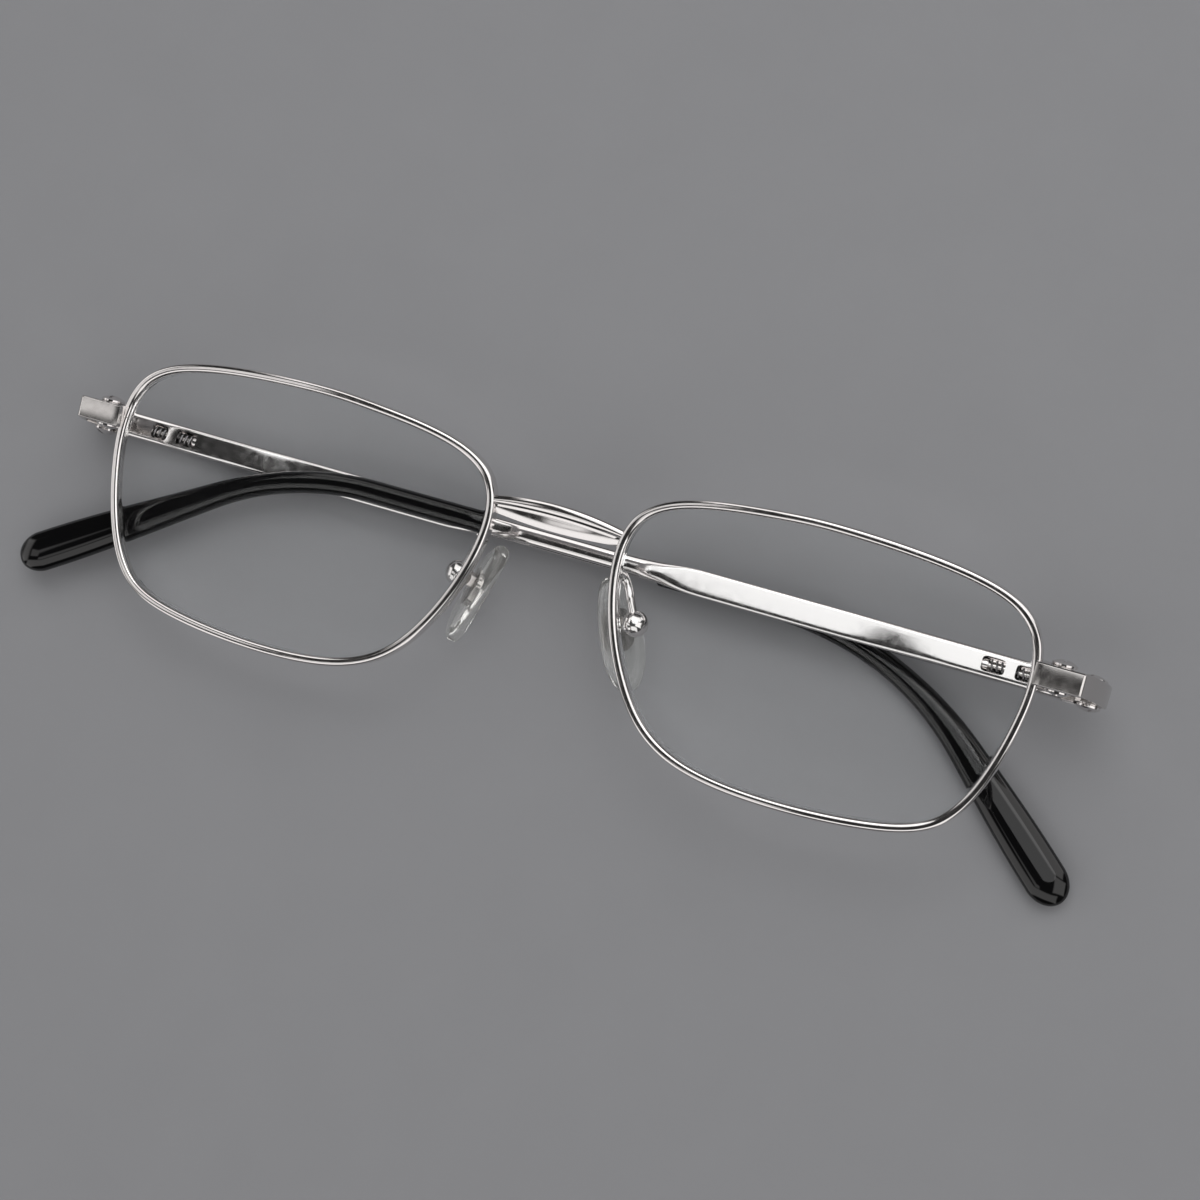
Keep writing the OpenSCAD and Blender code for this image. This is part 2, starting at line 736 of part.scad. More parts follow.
module temple_tip(side) {
  places = core_stations(side);
  last = len(places) - 1;
  inner = [
    for (i = [last:-1:0])
      temple_ring(
        i == last ? core_end + sleeve_fit : places[i],
        section(core_t / 2 + sleeve_fit, core_h / 2 + sleeve_fit, 5), side
      )
  ];
  outer = [
    for (s = sleeve_stations(side))
      let (k = (s > sleeve_at ? 1 : 0.88) * end_shrink(s))
      temple_ring(s, section(k * sleeve_t(s) / 2, k * sleeve_h(s) / 2, 2.5), side)
  ];
  color(black) temple_frame(side) loft(concat(inner, outer));
}

// Nose pad, its core, and the arm, box and screw that carry it

box_pos = [12.05, 5.5, -1.15];
pad_off = [-3.1, 0.2, -1.6];
tab_t = 1.1;
tab_fit = 0.05;
pad_screw_d = 0.8;
pad_head_d = 1.5;
pad_head_h = 0.5;
pad_seat = box_d / 2 - 0.28;
arm_seat = 1.2;
plate_t = 0.5;
cheek_floor = 0.85;

// The box's frame: x away from the nose, y across the pad, z along the pad
module pad_frame(side) {
  on_side(side) translate(box_pos) rotate([pad_rake, -pad_tilt, 0]) rotate([0, 0, -pad_splay])
    children();
}

// The wire comes down into the top of the box along this direction
pad_up = [-sin(pad_tilt) * cos(pad_rake), -sin(pad_rake), cos(pad_tilt) * cos(pad_rake)];

module pad_arm(side) {
  joint_z = 4.6;
  joint_u = outline_at(find_bridge_end(joint_z, 0.4, 0.66))[0];
  root = [from_lens_plane(joint_u, 0)[0], sag([joint_u, joint_z]) + rim_d / 2 - braze - 0.02, joint_z];
  route = [
    root + [0, -0.05, 0], root + [0.18, 0.58, -0.04], root + [0.59, 1.38, -0.62],
    box_pos + 4.04 * pad_up + [0, 0.36, 0], box_pos + 3.4 * pad_up, box_pos + 2.3 * pad_up,
    box_pos + arm_seat * pad_up
  ];
  steps = 18;
  r = arm_d / 2;
  color(steel) on_side(side) loft([
    for (i = [0:steps])
      let (
        t = i / steps,
        p = open_curve(route, t),
        d = open_curve(route, min(1, t + 0.01)) - open_curve(route, max(0, t - 0.01)),
        u = d / norm(d),
        b = cross(u, [1, -0.4, 0]) / norm(cross(u, [1, -0.4, 0])),
        c = cross(u, b)
      )
      [for (j = [7:-1:0]) p + r * (cos(45 * j) * b + sin(45 * j) * c)]
  ]);
}

module pad_box(side) {
  slot = tab_t + 2 * tab_fit;
  mouth = tab_h + 0.7;
  color(steel) pad_frame(side) difference() {
    sphere(d = box_d, $fn = 64);
    translate([cheek_floor - box_d, -slot / 2, -mouth / 2]) cube([box_d, slot, mouth]);
    translate([0, -box_d, 0]) rotate([-90, 0, 0])
      cylinder(d = pad_screw_d + 2 * screw_fit, h = 2 * box_d);
    translate([0, -pad_seat, 0]) rotate([90, 0, 0])
      cylinder(d = pad_head_d + 4 * screw_fit, h = box_d);
  }
}

module pad_screw(side) {
  color(steel) pad_frame(side) translate([0, -pad_seat, 0]) union() {
    rotate([-90, 0, 0]) cylinder(d = pad_screw_d, h = 2 * pad_seat + 0.1);
    rotate([90, 0, 0]) intersection() {
      cylinder(d = pad_head_d, h = pad_head_h);
      translate([0, 0, -pad_head_h]) sphere(r = 2 * pad_head_h, $fn = 64);
    }
  }
}

core_plate = [3.4, 5.4];
plate_x = pad_off[0] + 0.25;
tab_h = 1.5;

module core_shape(grow) {
  translate([plate_x - plate_t / 2 - grow, 0, pad_off[2] / 2]) rotate([0, 90, 0])
    linear_extrude(plate_t + 2 * grow) hull() {
      for (end = [-1, 1])
        translate([end * (core_plate[1] - core_plate[0]) / 2, 0]) circle(d = core_plate[0] + 2 * grow);
    }
  translate([plate_x, -tab_t / 2 - grow, -tab_h / 2 - grow])
    cube([-plate_x, tab_t + 2 * grow, tab_h + 2 * grow]);
}

module pad_core(side) {
  color(satin) pad_frame(side) difference() {
    union() {
      core_shape(0);
      translate([0, tab_t / 2, 0]) rotate([90, 0, 0]) cylinder(d = tab_h, h = tab_t);
    }
    translate([0, -box_d, 0]) rotate([-90, 0, 0])
      cylinder(d = pad_screw_d + 2 * screw_fit, h = 2 * box_d);
  }
}

// The pad is a soft rounded drop, a little wider below, crowned where it meets the nose
module nose_pad(side) {
  n = 28;
  layers = [
    for (i = [0:8])
      let (a = -90 + 180 * i / 8)
      [sin(a), 0.12 + 0.88 * pow(max(0, cos(a)), 0.62)]
  ];
  color(clear) pad_frame(side) difference() {
    translate(pad_off) loft([
      for (l = layers)
        [for (j = [n - 1:-1:0])
          let (
            q = 360 * j / n,
            z = sin(q) * pad_len / 2,
            y = cos(q) * pad_w / 2 * (1 - 0.14 * sin(q))
          )
          [l[0] * pad_t / 2 - 0.35 * pow(z * 2 / pad_len, 2), y * l[1],
            z * (1 - (1 - l[1]) * pad_w / pad_len)]]
    ]);
    core_shape(0.02);
  }
}

// Whole glasses, turned so that they lie on the folded temples with the lenses up

module lying() {
  rotate([0, -rest_roll, 0]) rotate([panto + rest_pitch - 90, 0, 0]) children();
}

lying() rim(LEFT);  // left_rim
lying() rim(RIGHT);  // right_rim
lying() bridge();
lying() lens(LEFT);  // left_lens
lying() lens(RIGHT);  // right_lens
lying() end_piece(LEFT);  // left_end_piece
lying() end_piece(RIGHT);  // right_end_piece
lying() rim_lock_upper(LEFT);  // left_rim_lock_upper
lying() rim_lock_upper(RIGHT);  // right_rim_lock_upper
lying() rim_lock_lower(LEFT);  // left_rim_lock_lower
lying() rim_lock_lower(RIGHT);  // right_rim_lock_lower
lying() rim_lock_screw(LEFT);  // left_rim_lock_screw
lying() rim_lock_screw(RIGHT);  // right_rim_lock_screw
lying() rim_lock_nut(LEFT);  // left_rim_lock_nut
lying() rim_lock_nut(RIGHT);  // right_rim_lock_nut
lying() hinge_block(LEFT);  // left_hinge_block
lying() hinge_block(RIGHT);  // right_hinge_block
lying() hinge_screw(LEFT);  // left_hinge_screw
lying() hinge_screw(RIGHT);  // right_hinge_screw
lying() hinge_nut(LEFT);  // left_hinge_nut
lying() hinge_nut(RIGHT);  // right_hinge_nut
lying() pad_arm(LEFT);  // left_pad_arm
lying() pad_arm(RIGHT);  // right_pad_arm
lying() pad_box(LEFT);  // left_pad_box
lying() pad_box(RIGHT);  // right_pad_box
lying() pad_screw(LEFT);  // left_pad_screw
lying() pad_screw(RIGHT);  // right_pad_screw
lying() nose_pad(LEFT);  // left_nose_pad
lying() nose_pad(RIGHT);  // right_nose_pad
lying() pad_core(LEFT);  // left_pad_core
lying() pad_core(RIGHT);  // right_pad_core
lying() hinge_slider(LEFT);  // left_hinge_slider
lying() hinge_slider(RIGHT);  // right_hinge_slider
lying() slider_nut(LEFT);  // left_slider_nut
lying() slider_nut(RIGHT);  // right_slider_nut
lying() spring_bush(LEFT);  // left_spring_bush
lying() spring_bush(RIGHT);  // right_spring_bush
lying() hinge_spring(LEFT);  // left_hinge_spring
lying() hinge_spring(RIGHT);  // right_hinge_spring
lying() temple_bar(LEFT);  // left_temple_bar
lying() temple_bar(RIGHT);  // right_temple_bar
lying() temple_tip(LEFT);  // left_temple_tip
lying() temple_tip(RIGHT);  // right_temple_tip
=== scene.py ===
"""Rectangular full-rim eyeglasses in polished steel, folded and lying with the lenses up.

Sizes are in millimetres, in the frame of the front: x to the wearer's left, y towards the face
and z up the lens, with the origin in the middle of the nose gap. Lying.matrix() lays the front
down on its folded temples, in metres.
"""
import logging
import math
from dataclasses import dataclass, field
from enum import Enum
from typing import Callable, Sequence

import bmesh
import bpy
from mathutils import Matrix, Vector


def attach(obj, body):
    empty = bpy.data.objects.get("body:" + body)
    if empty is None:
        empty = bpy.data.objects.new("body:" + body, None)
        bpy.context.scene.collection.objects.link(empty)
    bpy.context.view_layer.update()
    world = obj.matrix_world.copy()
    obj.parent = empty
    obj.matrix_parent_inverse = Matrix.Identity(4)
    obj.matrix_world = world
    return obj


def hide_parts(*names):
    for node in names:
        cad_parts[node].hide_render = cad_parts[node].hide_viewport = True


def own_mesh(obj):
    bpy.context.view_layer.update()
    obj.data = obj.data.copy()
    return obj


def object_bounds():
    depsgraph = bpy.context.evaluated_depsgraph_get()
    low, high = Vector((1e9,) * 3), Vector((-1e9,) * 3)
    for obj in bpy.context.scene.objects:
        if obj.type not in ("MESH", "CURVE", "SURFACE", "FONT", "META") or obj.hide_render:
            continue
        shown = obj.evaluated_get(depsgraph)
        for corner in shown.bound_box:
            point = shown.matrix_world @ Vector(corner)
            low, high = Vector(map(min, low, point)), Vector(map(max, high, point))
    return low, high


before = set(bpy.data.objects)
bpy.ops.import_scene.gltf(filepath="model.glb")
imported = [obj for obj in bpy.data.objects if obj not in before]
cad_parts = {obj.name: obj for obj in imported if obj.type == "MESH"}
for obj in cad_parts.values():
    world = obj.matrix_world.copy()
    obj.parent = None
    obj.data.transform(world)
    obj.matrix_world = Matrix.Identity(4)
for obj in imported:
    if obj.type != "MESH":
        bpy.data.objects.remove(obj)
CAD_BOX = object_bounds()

LOG = logging.getLogger("eyeglasses")
MM = 0.001
Ring = list[Vector]


class Side(Enum):
    """The wearer's sides. The value is the sign of x on that side."""

    LEFT = 1
    RIGHT = -1

    @property
    def word(self) -> str:
        """The side's name as the nodes and bodies spell it."""
        return self.name.lower()

    def mirror(self) -> Matrix:
        """The mirror from the left side's frame to this side's."""
        return Matrix.Diagonal((self.value, 1.0, 1.0, 1.0))


# Small sums that the shapes share


def lerp(a: float, b: float, share: float) -> float:
    """The value at a share of the way from a to b."""
    return a + (b - a) * share


def ease(share: float) -> float:
    """A share from 0 to 1 that starts and ends smoothly."""
    s = min(1.0, max(0.0, share))
    return s * s * (3 - 2 * s)


def turn(axis: str, degrees: float) -> Matrix:
    """A turn about a main axis."""
    return Matrix.Rotation(math.radians(degrees), 4, axis)


def shift(x: float, y: float, z: float) -> Matrix:
    """A move without a turn."""
    return Matrix.Translation((x, y, z))


def cubic_weights(share: float) -> tuple[float, float, float, float]:
    """Weights of the four steering points round a place on a smooth curve."""
    s = share
    return (
        (1 - s) ** 3 / 6,
        (3 * s**3 - 6 * s * s + 4) / 6,
        (-3 * s**3 + 3 * s * s + 3 * s + 1) / 6,
        s**3 / 6,
    )


def closed_curve(points: Sequence[Vector], t: float) -> Vector:
    """A point of the closed smooth curve that the points steer.

    Args:
        points: steering points in order.
        t: place on the curve, where 1 is once round.

    Returns:
        The point at t.
    """
    n = len(points)
    place = (t % 1.0) * n
    k = math.floor(place)
    weights = cubic_weights(place - k)
    return sum(
        (w * points[(k - 1 + i) % n] for i, w in enumerate(weights)), points[0] * 0.0
    )


def open_curve(points: Sequence[Vector], t: float) -> Vector:
    """A point of the open smooth curve that starts and ends at the outer points.

    Args:
        points: steering points in order.
        t: place on the curve, from 0 to 1.

    Returns:
        The point at t.
    """
    n = len(points)
    ends = [2 * points[0] - points[1], *points, 2 * points[-1] - points[-2]]
    place = min(1.0, max(0.0, t)) * (n - 1)
    k = min(n - 2, math.floor(place))
    weights = cubic_weights(place - k)
    return sum((w * ends[k + i] for i, w in enumerate(weights)), points[0] * 0.0)


def oval(half_x: float, half_z: float, squareness: float, count: int) -> list[tuple[float, float]]:
    """A rounded outline between an ellipse and a rectangle.

    Args:
        half_x: half width.
        half_z: half height.
        squareness: 2 for an ellipse, more for squarer corners.
        count: number of points.

    Returns:
        The outline's points, anticlockwise.
    """
    points = []
    for i in range(count):
        angle = 2 * math.pi * (i + 0.5) / count
        c, s = math.cos(angle), math.sin(angle)
        points.append((
            half_x * math.copysign(abs(c) ** (2 / squareness), c),
            half_z * math.copysign(abs(s) ** (2 / squareness), s),
        ))
    return points


# Frames


@dataclass(frozen=True)
class Lying:
    """How the front, the temples and the pads stand, as the joints of the frame have them."""

    panto: float = 9.0
    rest_roll: float = 2.0
    rest_pitch: float = -1.0
    left_stand_off: float = -0.5
    right_stand_off: float = 2.5
    hinge: tuple[float, float, float] = (67.4062, 9.5889, 5.4829)
    box: tuple[float, float, float] = (12.05, 5.5, -1.15)
    pad_rake: float = 13.0
    pad_tilt: float = 22.0
    pad_splay: float = 30.0

    def matrix(self) -> Matrix:
        """From the front's frame in millimetres to the row's frame in metres."""
        lay = turn("Y", -self.rest_roll) @ turn("X", self.panto + self.rest_pitch - 90)
        return Matrix.Scale(MM, 4) @ lay

    def hinge_axis(self, side: Side) -> Matrix:
        """From a hinge's own frame, z along its screw, to the row's frame."""
        return self.matrix() @ side.mirror() @ shift(*self.hinge) @ turn("X", -self.panto)

    def temple(self, side: Side) -> Matrix:
        """From a temple's own frame, y along it and x outwards, to the row's frame."""
        off = self.left_stand_off if side is Side.LEFT else self.right_stand_off
        return self.hinge_axis(side) @ turn("Z", 90 - off)

    def pad_up(self) -> Vector:
        """The direction along a pad, in the front's frame."""
        lean = turn("Y", -self.pad_tilt) @ turn("X", self.pad_rake)
        return lean @ Vector((0, 0, 1))

    def pad(self, side: Side) -> Matrix:
        """From a nose pad's own frame, z along it, to the row's frame."""
        lean = turn("Y", -self.pad_tilt) @ turn("X", self.pad_rake)
        return self.matrix() @ side.mirror() @ shift(*self.box) @ lean @ turn("Z", -self.pad_splay)


LYING = Lying()


# Meshes


def mesh_object(name: str, mesh: bpy.types.Mesh) -> bpy.types.Object:
    """A new object of the mesh, linked into the scene."""
    obj = bpy.data.objects.new(name, mesh)
    bpy.context.scene.collection.objects.link(obj)
    return obj


def place_mesh(obj: bpy.types.Object, place: Matrix) -> None:
    """Puts the object's mesh where it belongs, with its faces outwards.

    Args:
        obj: a mesh object at the origin.
        place: from the mesh's own frame to the row's.
    """
    obj.data.transform(place)
    if place.determinant() < 0:
        obj.data.flip_normals()
    obj.data.update()


def smooth(mesh: bpy.types.Mesh, crease: float = 32.0) -> None:
    """Shades a mesh smoothly, with sharp edges past an angle in degrees."""
    mesh.shade_smooth()
    mesh.set_sharp_from_angle(angle=math.radians(crease))


def loft(name: str, rings: Sequence[Ring], place: Matrix, crease: float = 32.0) -> bpy.types.Object:
    """A closed skin through rings of the same number of points.

    Args:
        name: the piece's name.
        rings: rings from one end to the other, in the place's frame.
        place: from that frame to the row's.
        crease: angle past which an edge is sharp, in degrees.

    Returns:
        The new object, with its place in its mesh.
    """
    n, m = len(rings[0]), len(rings)
    faces = [list(range(n))[::-1], [(m - 1) * n + j for j in range(n)]]
    for i in range(m - 1):
        for j in range(n):
            a, b = i * n + j, i * n + (j + 1) % n
            faces.append([a, b, b + n, a + n])
    mesh = bpy.data.meshes.new(name)
    mesh.from_pydata([tuple(p) for ring in rings for p in ring], [], faces)
    build = bmesh.new()
    build.from_mesh(mesh)
    bmesh.ops.recalc_face_normals(build, faces=build.faces)
    build.to_mesh(mesh)
    build.free()
    smooth(mesh, crease)
    obj = mesh_object(name, mesh)
    place_mesh(obj, place)
    return obj


def disc(radius: float, z: float) -> Ring:
    """A round ring about the z axis at a height."""
    return [Vector((x, y, z)) for x, y in oval(radius, radius, 2, 48)]


def block(name: str, low: Sequence[float], high: Sequence[float], place: Matrix) -> bpy.types.Object:
    """A plain block between two corners, for cutting.

    Args:
        name: the block's name.
        low: its lowest corner.
        high: its highest corner.
        place: from the corners' frame to the row's.

    Returns:
        The new object.
    """
    (x0, y0, z0), (x1, y1, z1) = low, high
    corners = ((x0, y0), (x1, y0), (x1, y1), (x0, y1))
    return loft(name, [[Vector((x, y, z)) for x, y in corners] for z in (z0, z1)], place)


def peg(name: str, radius: float, length: float, place: Matrix) -> bpy.types.Object:
    """A round peg from the place's origin along its z, for cutting.

    Args:
        name: the peg's name.
        radius: its radius.
        length: its length.
        place: from its own frame to the row's.

    Returns:
        The new object.
    """
    return loft(name, [disc(radius, z) for z in (0.0, length)], place)


def settle(obj: bpy.types.Object) -> bpy.types.Object:
    """Turns what the modifiers make into the object's own plain mesh.

    Args:
        obj: an object with modifiers.

    Returns:
        The same object, with no modifiers left.
    """
    graph = bpy.context.evaluated_depsgraph_get()
    graph.update()
    made = bpy.data.meshes.new_from_object(obj.evaluated_get(graph))
    obj.modifiers.clear()
    obj.data = made
    return obj


def cut(obj: bpy.types.Object, cutters: Sequence[bpy.types.Object], crease: float = 32.0) -> None:
    """Cuts the cutters out of a piece and removes them.

    Args:
        obj: the piece.
        cutters: closed meshes in the same frame.
        crease: angle past which an edge is sharp, in degrees.
    """
    for cutter in cutters:
        boolean = obj.modifiers.new("cut", "BOOLEAN")
        boolean.operation = "DIFFERENCE"
        boolean.solver = "EXACT"
        boolean.object = cutter
    settle(obj)
    for cutter in cutters:
        bpy.data.objects.remove(cutter)
    smooth(obj.data, crease)


def round_edges(obj: bpy.types.Object, width: float, segments: int, angle: float) -> None:
    """Rounds a piece's sharp edges.

    Args:
        obj: the piece.
        width: width of the rounding in millimetres.
        segments: faces across it.
        angle: edges sharper than this are rounded, in degrees.
    """
    bevel = obj.modifiers.new("rounded edges", "BEVEL")
    bevel.width = width * MM
    bevel.segments = segments
    bevel.limit_method = "ANGLE"
    bevel.angle_limit = math.radians(angle)
    bevel.harden_normals = False
    settle(obj)
    smooth(obj.data, 40.0)


# Node trees that repeat a piece or follow a path


def add_node(tree: bpy.types.NodeTree, kind: str, links: dict | None = None, **settings) -> bpy.types.Node:
    """Adds a node with its settings, its values and its links.

    Args:
        tree: a shader or geometry tree.
        kind: the node's type.
        links: input socket, by name or number, to a value or to another node's output.
        **settings: properties of the node itself.

    Returns:
        The new node.
    """
    node = tree.nodes.new(kind)
    for key, value in settings.items():
        setattr(node, key, value)
    for key, value in (links or {}).items():
        if isinstance(value, bpy.types.NodeSocket):
            tree.links.new(value, node.inputs[key])
        else:
            node.inputs[key].default_value = value
    return node


class PieceTree:
    """A geometry tree with named inputs, used as a modifier and then settled."""

    KINDS = {float: "NodeSocketFloat", int: "NodeSocketInt"}

    def __init__(self, name: str, sizes: dict[str, float | int]) -> None:
        """Starts a tree.

        Args:
            name: the tree's name.
            sizes: input name to its value.
        """
        self.tree = bpy.data.node_groups.new(name, "GeometryNodeTree")
        face = self.tree.interface
        face.new_socket("Geometry", in_out="INPUT", socket_type="NodeSocketGeometry")
        self.values: dict[str, float | int] = {}
        for key, value in sizes.items():
            socket = face.new_socket(key, in_out="INPUT", socket_type=self.KINDS[type(value)])
            self.values[socket.identifier] = value
        socket = face.new_socket("Finish", in_out="INPUT", socket_type="NodeSocketMaterial")
        self.finish_input = socket.identifier
        face.new_socket("Geometry", in_out="OUTPUT", socket_type="NodeSocketGeometry")
        self.start = self.add("NodeGroupInput")

    def add(self, kind: str, links: dict | None = None, **settings) -> bpy.types.Node:
        """Adds a node to this tree."""
        return add_node(self.tree, kind, links, **settings)

    def given(self, key: str) -> bpy.types.NodeSocket:
        """The socket of a named input."""
        return self.start.outputs[key]

    def finish(self, geometry: bpy.types.NodeSocket) -> None:
        """Ends the tree: instances become real and get their material."""
        real = self.add("GeometryNodeRealizeInstances", {0: geometry})
        dressed = self.add(
            "GeometryNodeSetMaterial", {"Geometry": real.outputs[0], "Material": self.given("Finish")}
        )
        self.add("NodeGroupOutput", {0: dressed.outputs[0]})

    def use(self, obj: bpy.types.Object, material: bpy.types.Material) -> None:
        """Runs the tree on an object and keeps what it makes as a plain mesh.

        Args:
            obj: the object that carries the tree.
            material: the finish that the tree sets.
        """
        modifier = obj.modifiers.new(self.tree.name, "NODES")
        modifier.node_group = self.tree
        modifier[self.finish_input] = material
        for ident, value in self.values.items():
            modifier[ident] = value
        settle(obj)


def path_object(name: str, points: Sequence[Vector]) -> bpy.types.Object:
    """An open line of edges through points, for a tree to sweep."""
    mesh = bpy.data.meshes.new(name)
    mesh.from_pydata([tuple(p) for p in points], [(i, i + 1) for i in range(len(points) - 1)], [])
    return mesh_object(name, mesh)


def sweep(
    name: str, sizes: dict[str, float | int],
    profile: Callable[[PieceTree], bpy.types.NodeSocket], upright: bool = False,
) -> PieceTree:
    """A tree that sweeps a profile along the carrier's line.

    Args:
        name: the tree's name.
        sizes: input name to its value.
        profile: adds the profile's nodes and gives its curve.
        upright: whether the profile keeps its side along z.

    Returns:
        The finished tree.
    """
    piece = PieceTree(name, sizes)
    line = piece.add("GeometryNodeMeshToCurve", {0: piece.given("Geometry")}).outputs[0]
    if upright:
        line = piece.add("GeometryNodeSetCurveNormal", {0: line}, mode="Z_UP").outputs[0]
    swept = piece.add(
        "GeometryNodeCurveToMesh", {"Curve": line, "Profile Curve": profile(piece), "Fill Caps": True}
    )
    piece.finish(swept.outputs[0])
    return piece


def round_profile(piece: PieceTree) -> bpy.types.NodeSocket:
    """A circle of the tree's wire diameter."""
    half = piece.add("ShaderNodeMath", {0: piece.given("Wire diameter"), 1: 0.5}, operation="MULTIPLY")
    return piece.add(
        "GeometryNodeCurvePrimitiveCircle",
        {"Resolution": piece.given("Sides"), "Radius": half.outputs[0]},
    ).outputs[0]


def flat_profile(piece: PieceTree) -> bpy.types.NodeSocket:
    """A rectangle of the tree's width and depth, with rounded corners."""
    flat = piece.add(
        "GeometryNodeCurvePrimitiveQuadrilateral",
        {"Width": piece.given("Width"), "Height": piece.given("Depth")},
    )
    return piece.add(
        "GeometryNodeFilletCurve",
        {"Curve": flat.outputs[0], "Radius": piece.given("Corner"), "Count": 6}, mode="POLY",
    ).outputs[0]


# Finishes


def linear(code: str) -> tuple[float, float, float, float]:
    """A colour written as sRGB hex, as the linear values that shaders take."""
    parts = [int(code[i:i + 2], 16) / 255 for i in (1, 3, 5)]
    r, g, b = (p / 12.92 if p <= 0.04045 else ((p + 0.055) / 1.055) ** 2.4 for p in parts)
    return (r, g, b, 1.0)


def per_size(size: float) -> float:
    """The texture scale at which one feature is a size in millimetres."""
    return 1.0 / (size * MM)


@dataclass(frozen=True)
class Finish:
    """One real material and how its surface was made."""

    name: str
    # The record's material slot, empty for the setting
    slot: str
    colour: str
    values: dict[str, float] = field(default_factory=dict)
    grain: float = 0.5
    rough: tuple[float, float] = (0.1, 0.16)
    bump: float = 0.0
    tint: float = 0.0

    def material(self) -> bpy.types.Material:
        """The finish as a material, made once.

        Returns:
            The material, with a principled surface whose roughness, relief and colour follow
            a noise of the finish's own grain.
        """
        made = bpy.data.materials.get(self.name)
        if made:
            return made
        made = bpy.data.materials.new(self.name)
        made.use_nodes = True
        tree = made.node_tree
        tree.nodes.clear()
        spot = add_node(tree, "ShaderNodeTexCoord").outputs["Object"]
        noise = add_node(
            tree, "ShaderNodeTexNoise",
            {"Vector": spot, "Scale": per_size(self.grain), "Detail": 4.0},
        )
        rough = add_node(
            tree, "ShaderNodeMapRange",
            {"Value": noise.outputs[0], "From Min": 0.3, "From Max": 0.7,
             "To Min": self.rough[0], "To Max": self.rough[1]},
        )
        surface = add_node(tree, "ShaderNodeBsdfPrincipled", {"Roughness": rough.outputs[0]})
        for key, value in self.values.items():
            surface.inputs[key].default_value = value
        if self.tint:
            dark = tuple(c * (1 - self.tint) for c in linear(self.colour)[:3]) + (1.0,)
            wide = add_node(
                tree, "ShaderNodeTexNoise",
                {"Vector": spot, "Scale": per_size(8 * self.grain), "Detail": 3.0},
            )
            mixed = add_node(
                tree, "ShaderNodeMix", {0: wide.outputs[0], 6: dark, 7: linear(self.colour)},
                data_type="RGBA",
            )
            tree.links.new(mixed.outputs[2], surface.inputs["Base Color"])
        else:
            surface.inputs["Base Color"].default_value = linear(self.colour)
        if self.bump:
            relief = add_node(
                tree, "ShaderNodeBump",
                {"Height": noise.outputs[0], "Strength": self.bump, "Distance": 0.02 * MM},
            )
            tree.links.new(relief.outputs[0], surface.inputs["Normal"])
        add_node(tree, "ShaderNodeOutputMaterial", {"Surface": self.shown(tree, surface.outputs[0])})
        return made

    def shown(self, tree: bpy.types.NodeTree, surface: bpy.types.NodeSocket) -> bpy.types.NodeSocket:
        """The surface as it is shown: solid here, changed by a clear finish."""
        return surface


@dataclass(frozen=True)
class ClearFinish(Finish):
    """A clear material. Its shadow is light, because the light goes through."""

    shadow: float = 0.1

    def shown(self, tree: bpy.types.NodeTree, surface: bpy.types.NodeSocket) -> bpy.types.NodeSocket:
        """The surface, with most of the light let through to what it shades."""
        ray = add_node(tree, "ShaderNodeLightPath")
        unseen = add_node(
            tree, "ShaderNodeMath",
            {0: ray.outputs["Is Shadow Ray"], 1: ray.outputs["Is Diffuse Ray"]}, operation="MAXIMUM",
        )
        through = add_node(
            tree, "ShaderNodeMath", {0: unseen.outputs[0], 1: 1 - self.shadow}, operation="MULTIPLY"
        )
        empty = add_node(tree, "ShaderNodeBsdfTransparent")
        both = add_node(tree, "ShaderNodeMixShader", {0: through.outputs[0], 1: surface, 2: empty.outputs[0]})
        return both.outputs[0]


# Stainless steel, ground and buffed to a mirror: clear reflections with faint wipe marks
POLISHED_STEEL = Finish(
    "polished stainless steel", "polished_steel", "#E6E3E2", {"Metallic": 1.0},
    grain=0.9, rough=(0.07, 0.15), bump=0.04, tint=0.03,
)
# Stainless steel with a satin plating: soft broad reflections and a barely uneven skin
SATIN_STEEL = Finish(
    "satin stainless steel", "satin_steel", "#DAD7D5", {"Metallic": 1.0},
    grain=0.8, rough=(0.15, 0.21), bump=0.02, tint=0.03,
)
# Hard-drawn spring wire with a thin oxide from coiling: a little darker and duller
SPRING_WIRE = Finish(
    "drawn spring wire", "spring_steel", "#8F8E90", {"Metallic": 1.0},
    grain=0.1, rough=(0.22, 0.36), bump=0.08,
)
# Cellulose acetate, moulded and tumbled to a wet gloss: deep black under a clear, smooth skin
BLACK_ACETATE = Finish(
    "polished black acetate", "black_acetate", "#0B0B0C",
    {"IOR": 1.46, "Coat Weight": 0.15, "Coat Roughness": 0.02, "Coat IOR": 1.4},
    grain=0.7, rough=(0.04, 0.08), bump=0.01, tint=0.25,
)
# Optical lens, surfaced, polished and coated against reflections. The low index stands for the
# coating, which takes most of the bare glass's reflection away
COATED_LENS = ClearFinish(
    "coated optical lens", "lens_glass", "#FDFEFE",
    {"Transmission Weight": 1.0, "IOR": 1.06}, grain=6.0, rough=(0.0, 0.002), shadow=0.0,
)
# Clear silicone, moulded: soft gloss, slightly milky, with bright edges
CLEAR_SILICONE = ClearFinish(
    "moulded clear silicone", "clear_silicone", "#F6F7F5",
    {"Transmission Weight": 0.93, "IOR": 1.48}, grain=1.5, rough=(0.0, 0.01), bump=0.01, shadow=0.2,
)
# Coated display paper: an even mid grey with a faint soft mottling
GREY_PAPER = Finish(
    "grey display paper", "", "#8E8F92", {"Specular IOR Level": 0.25},
    grain=1.2, rough=(0.55, 0.7), bump=0.1, tint=0.05,
)


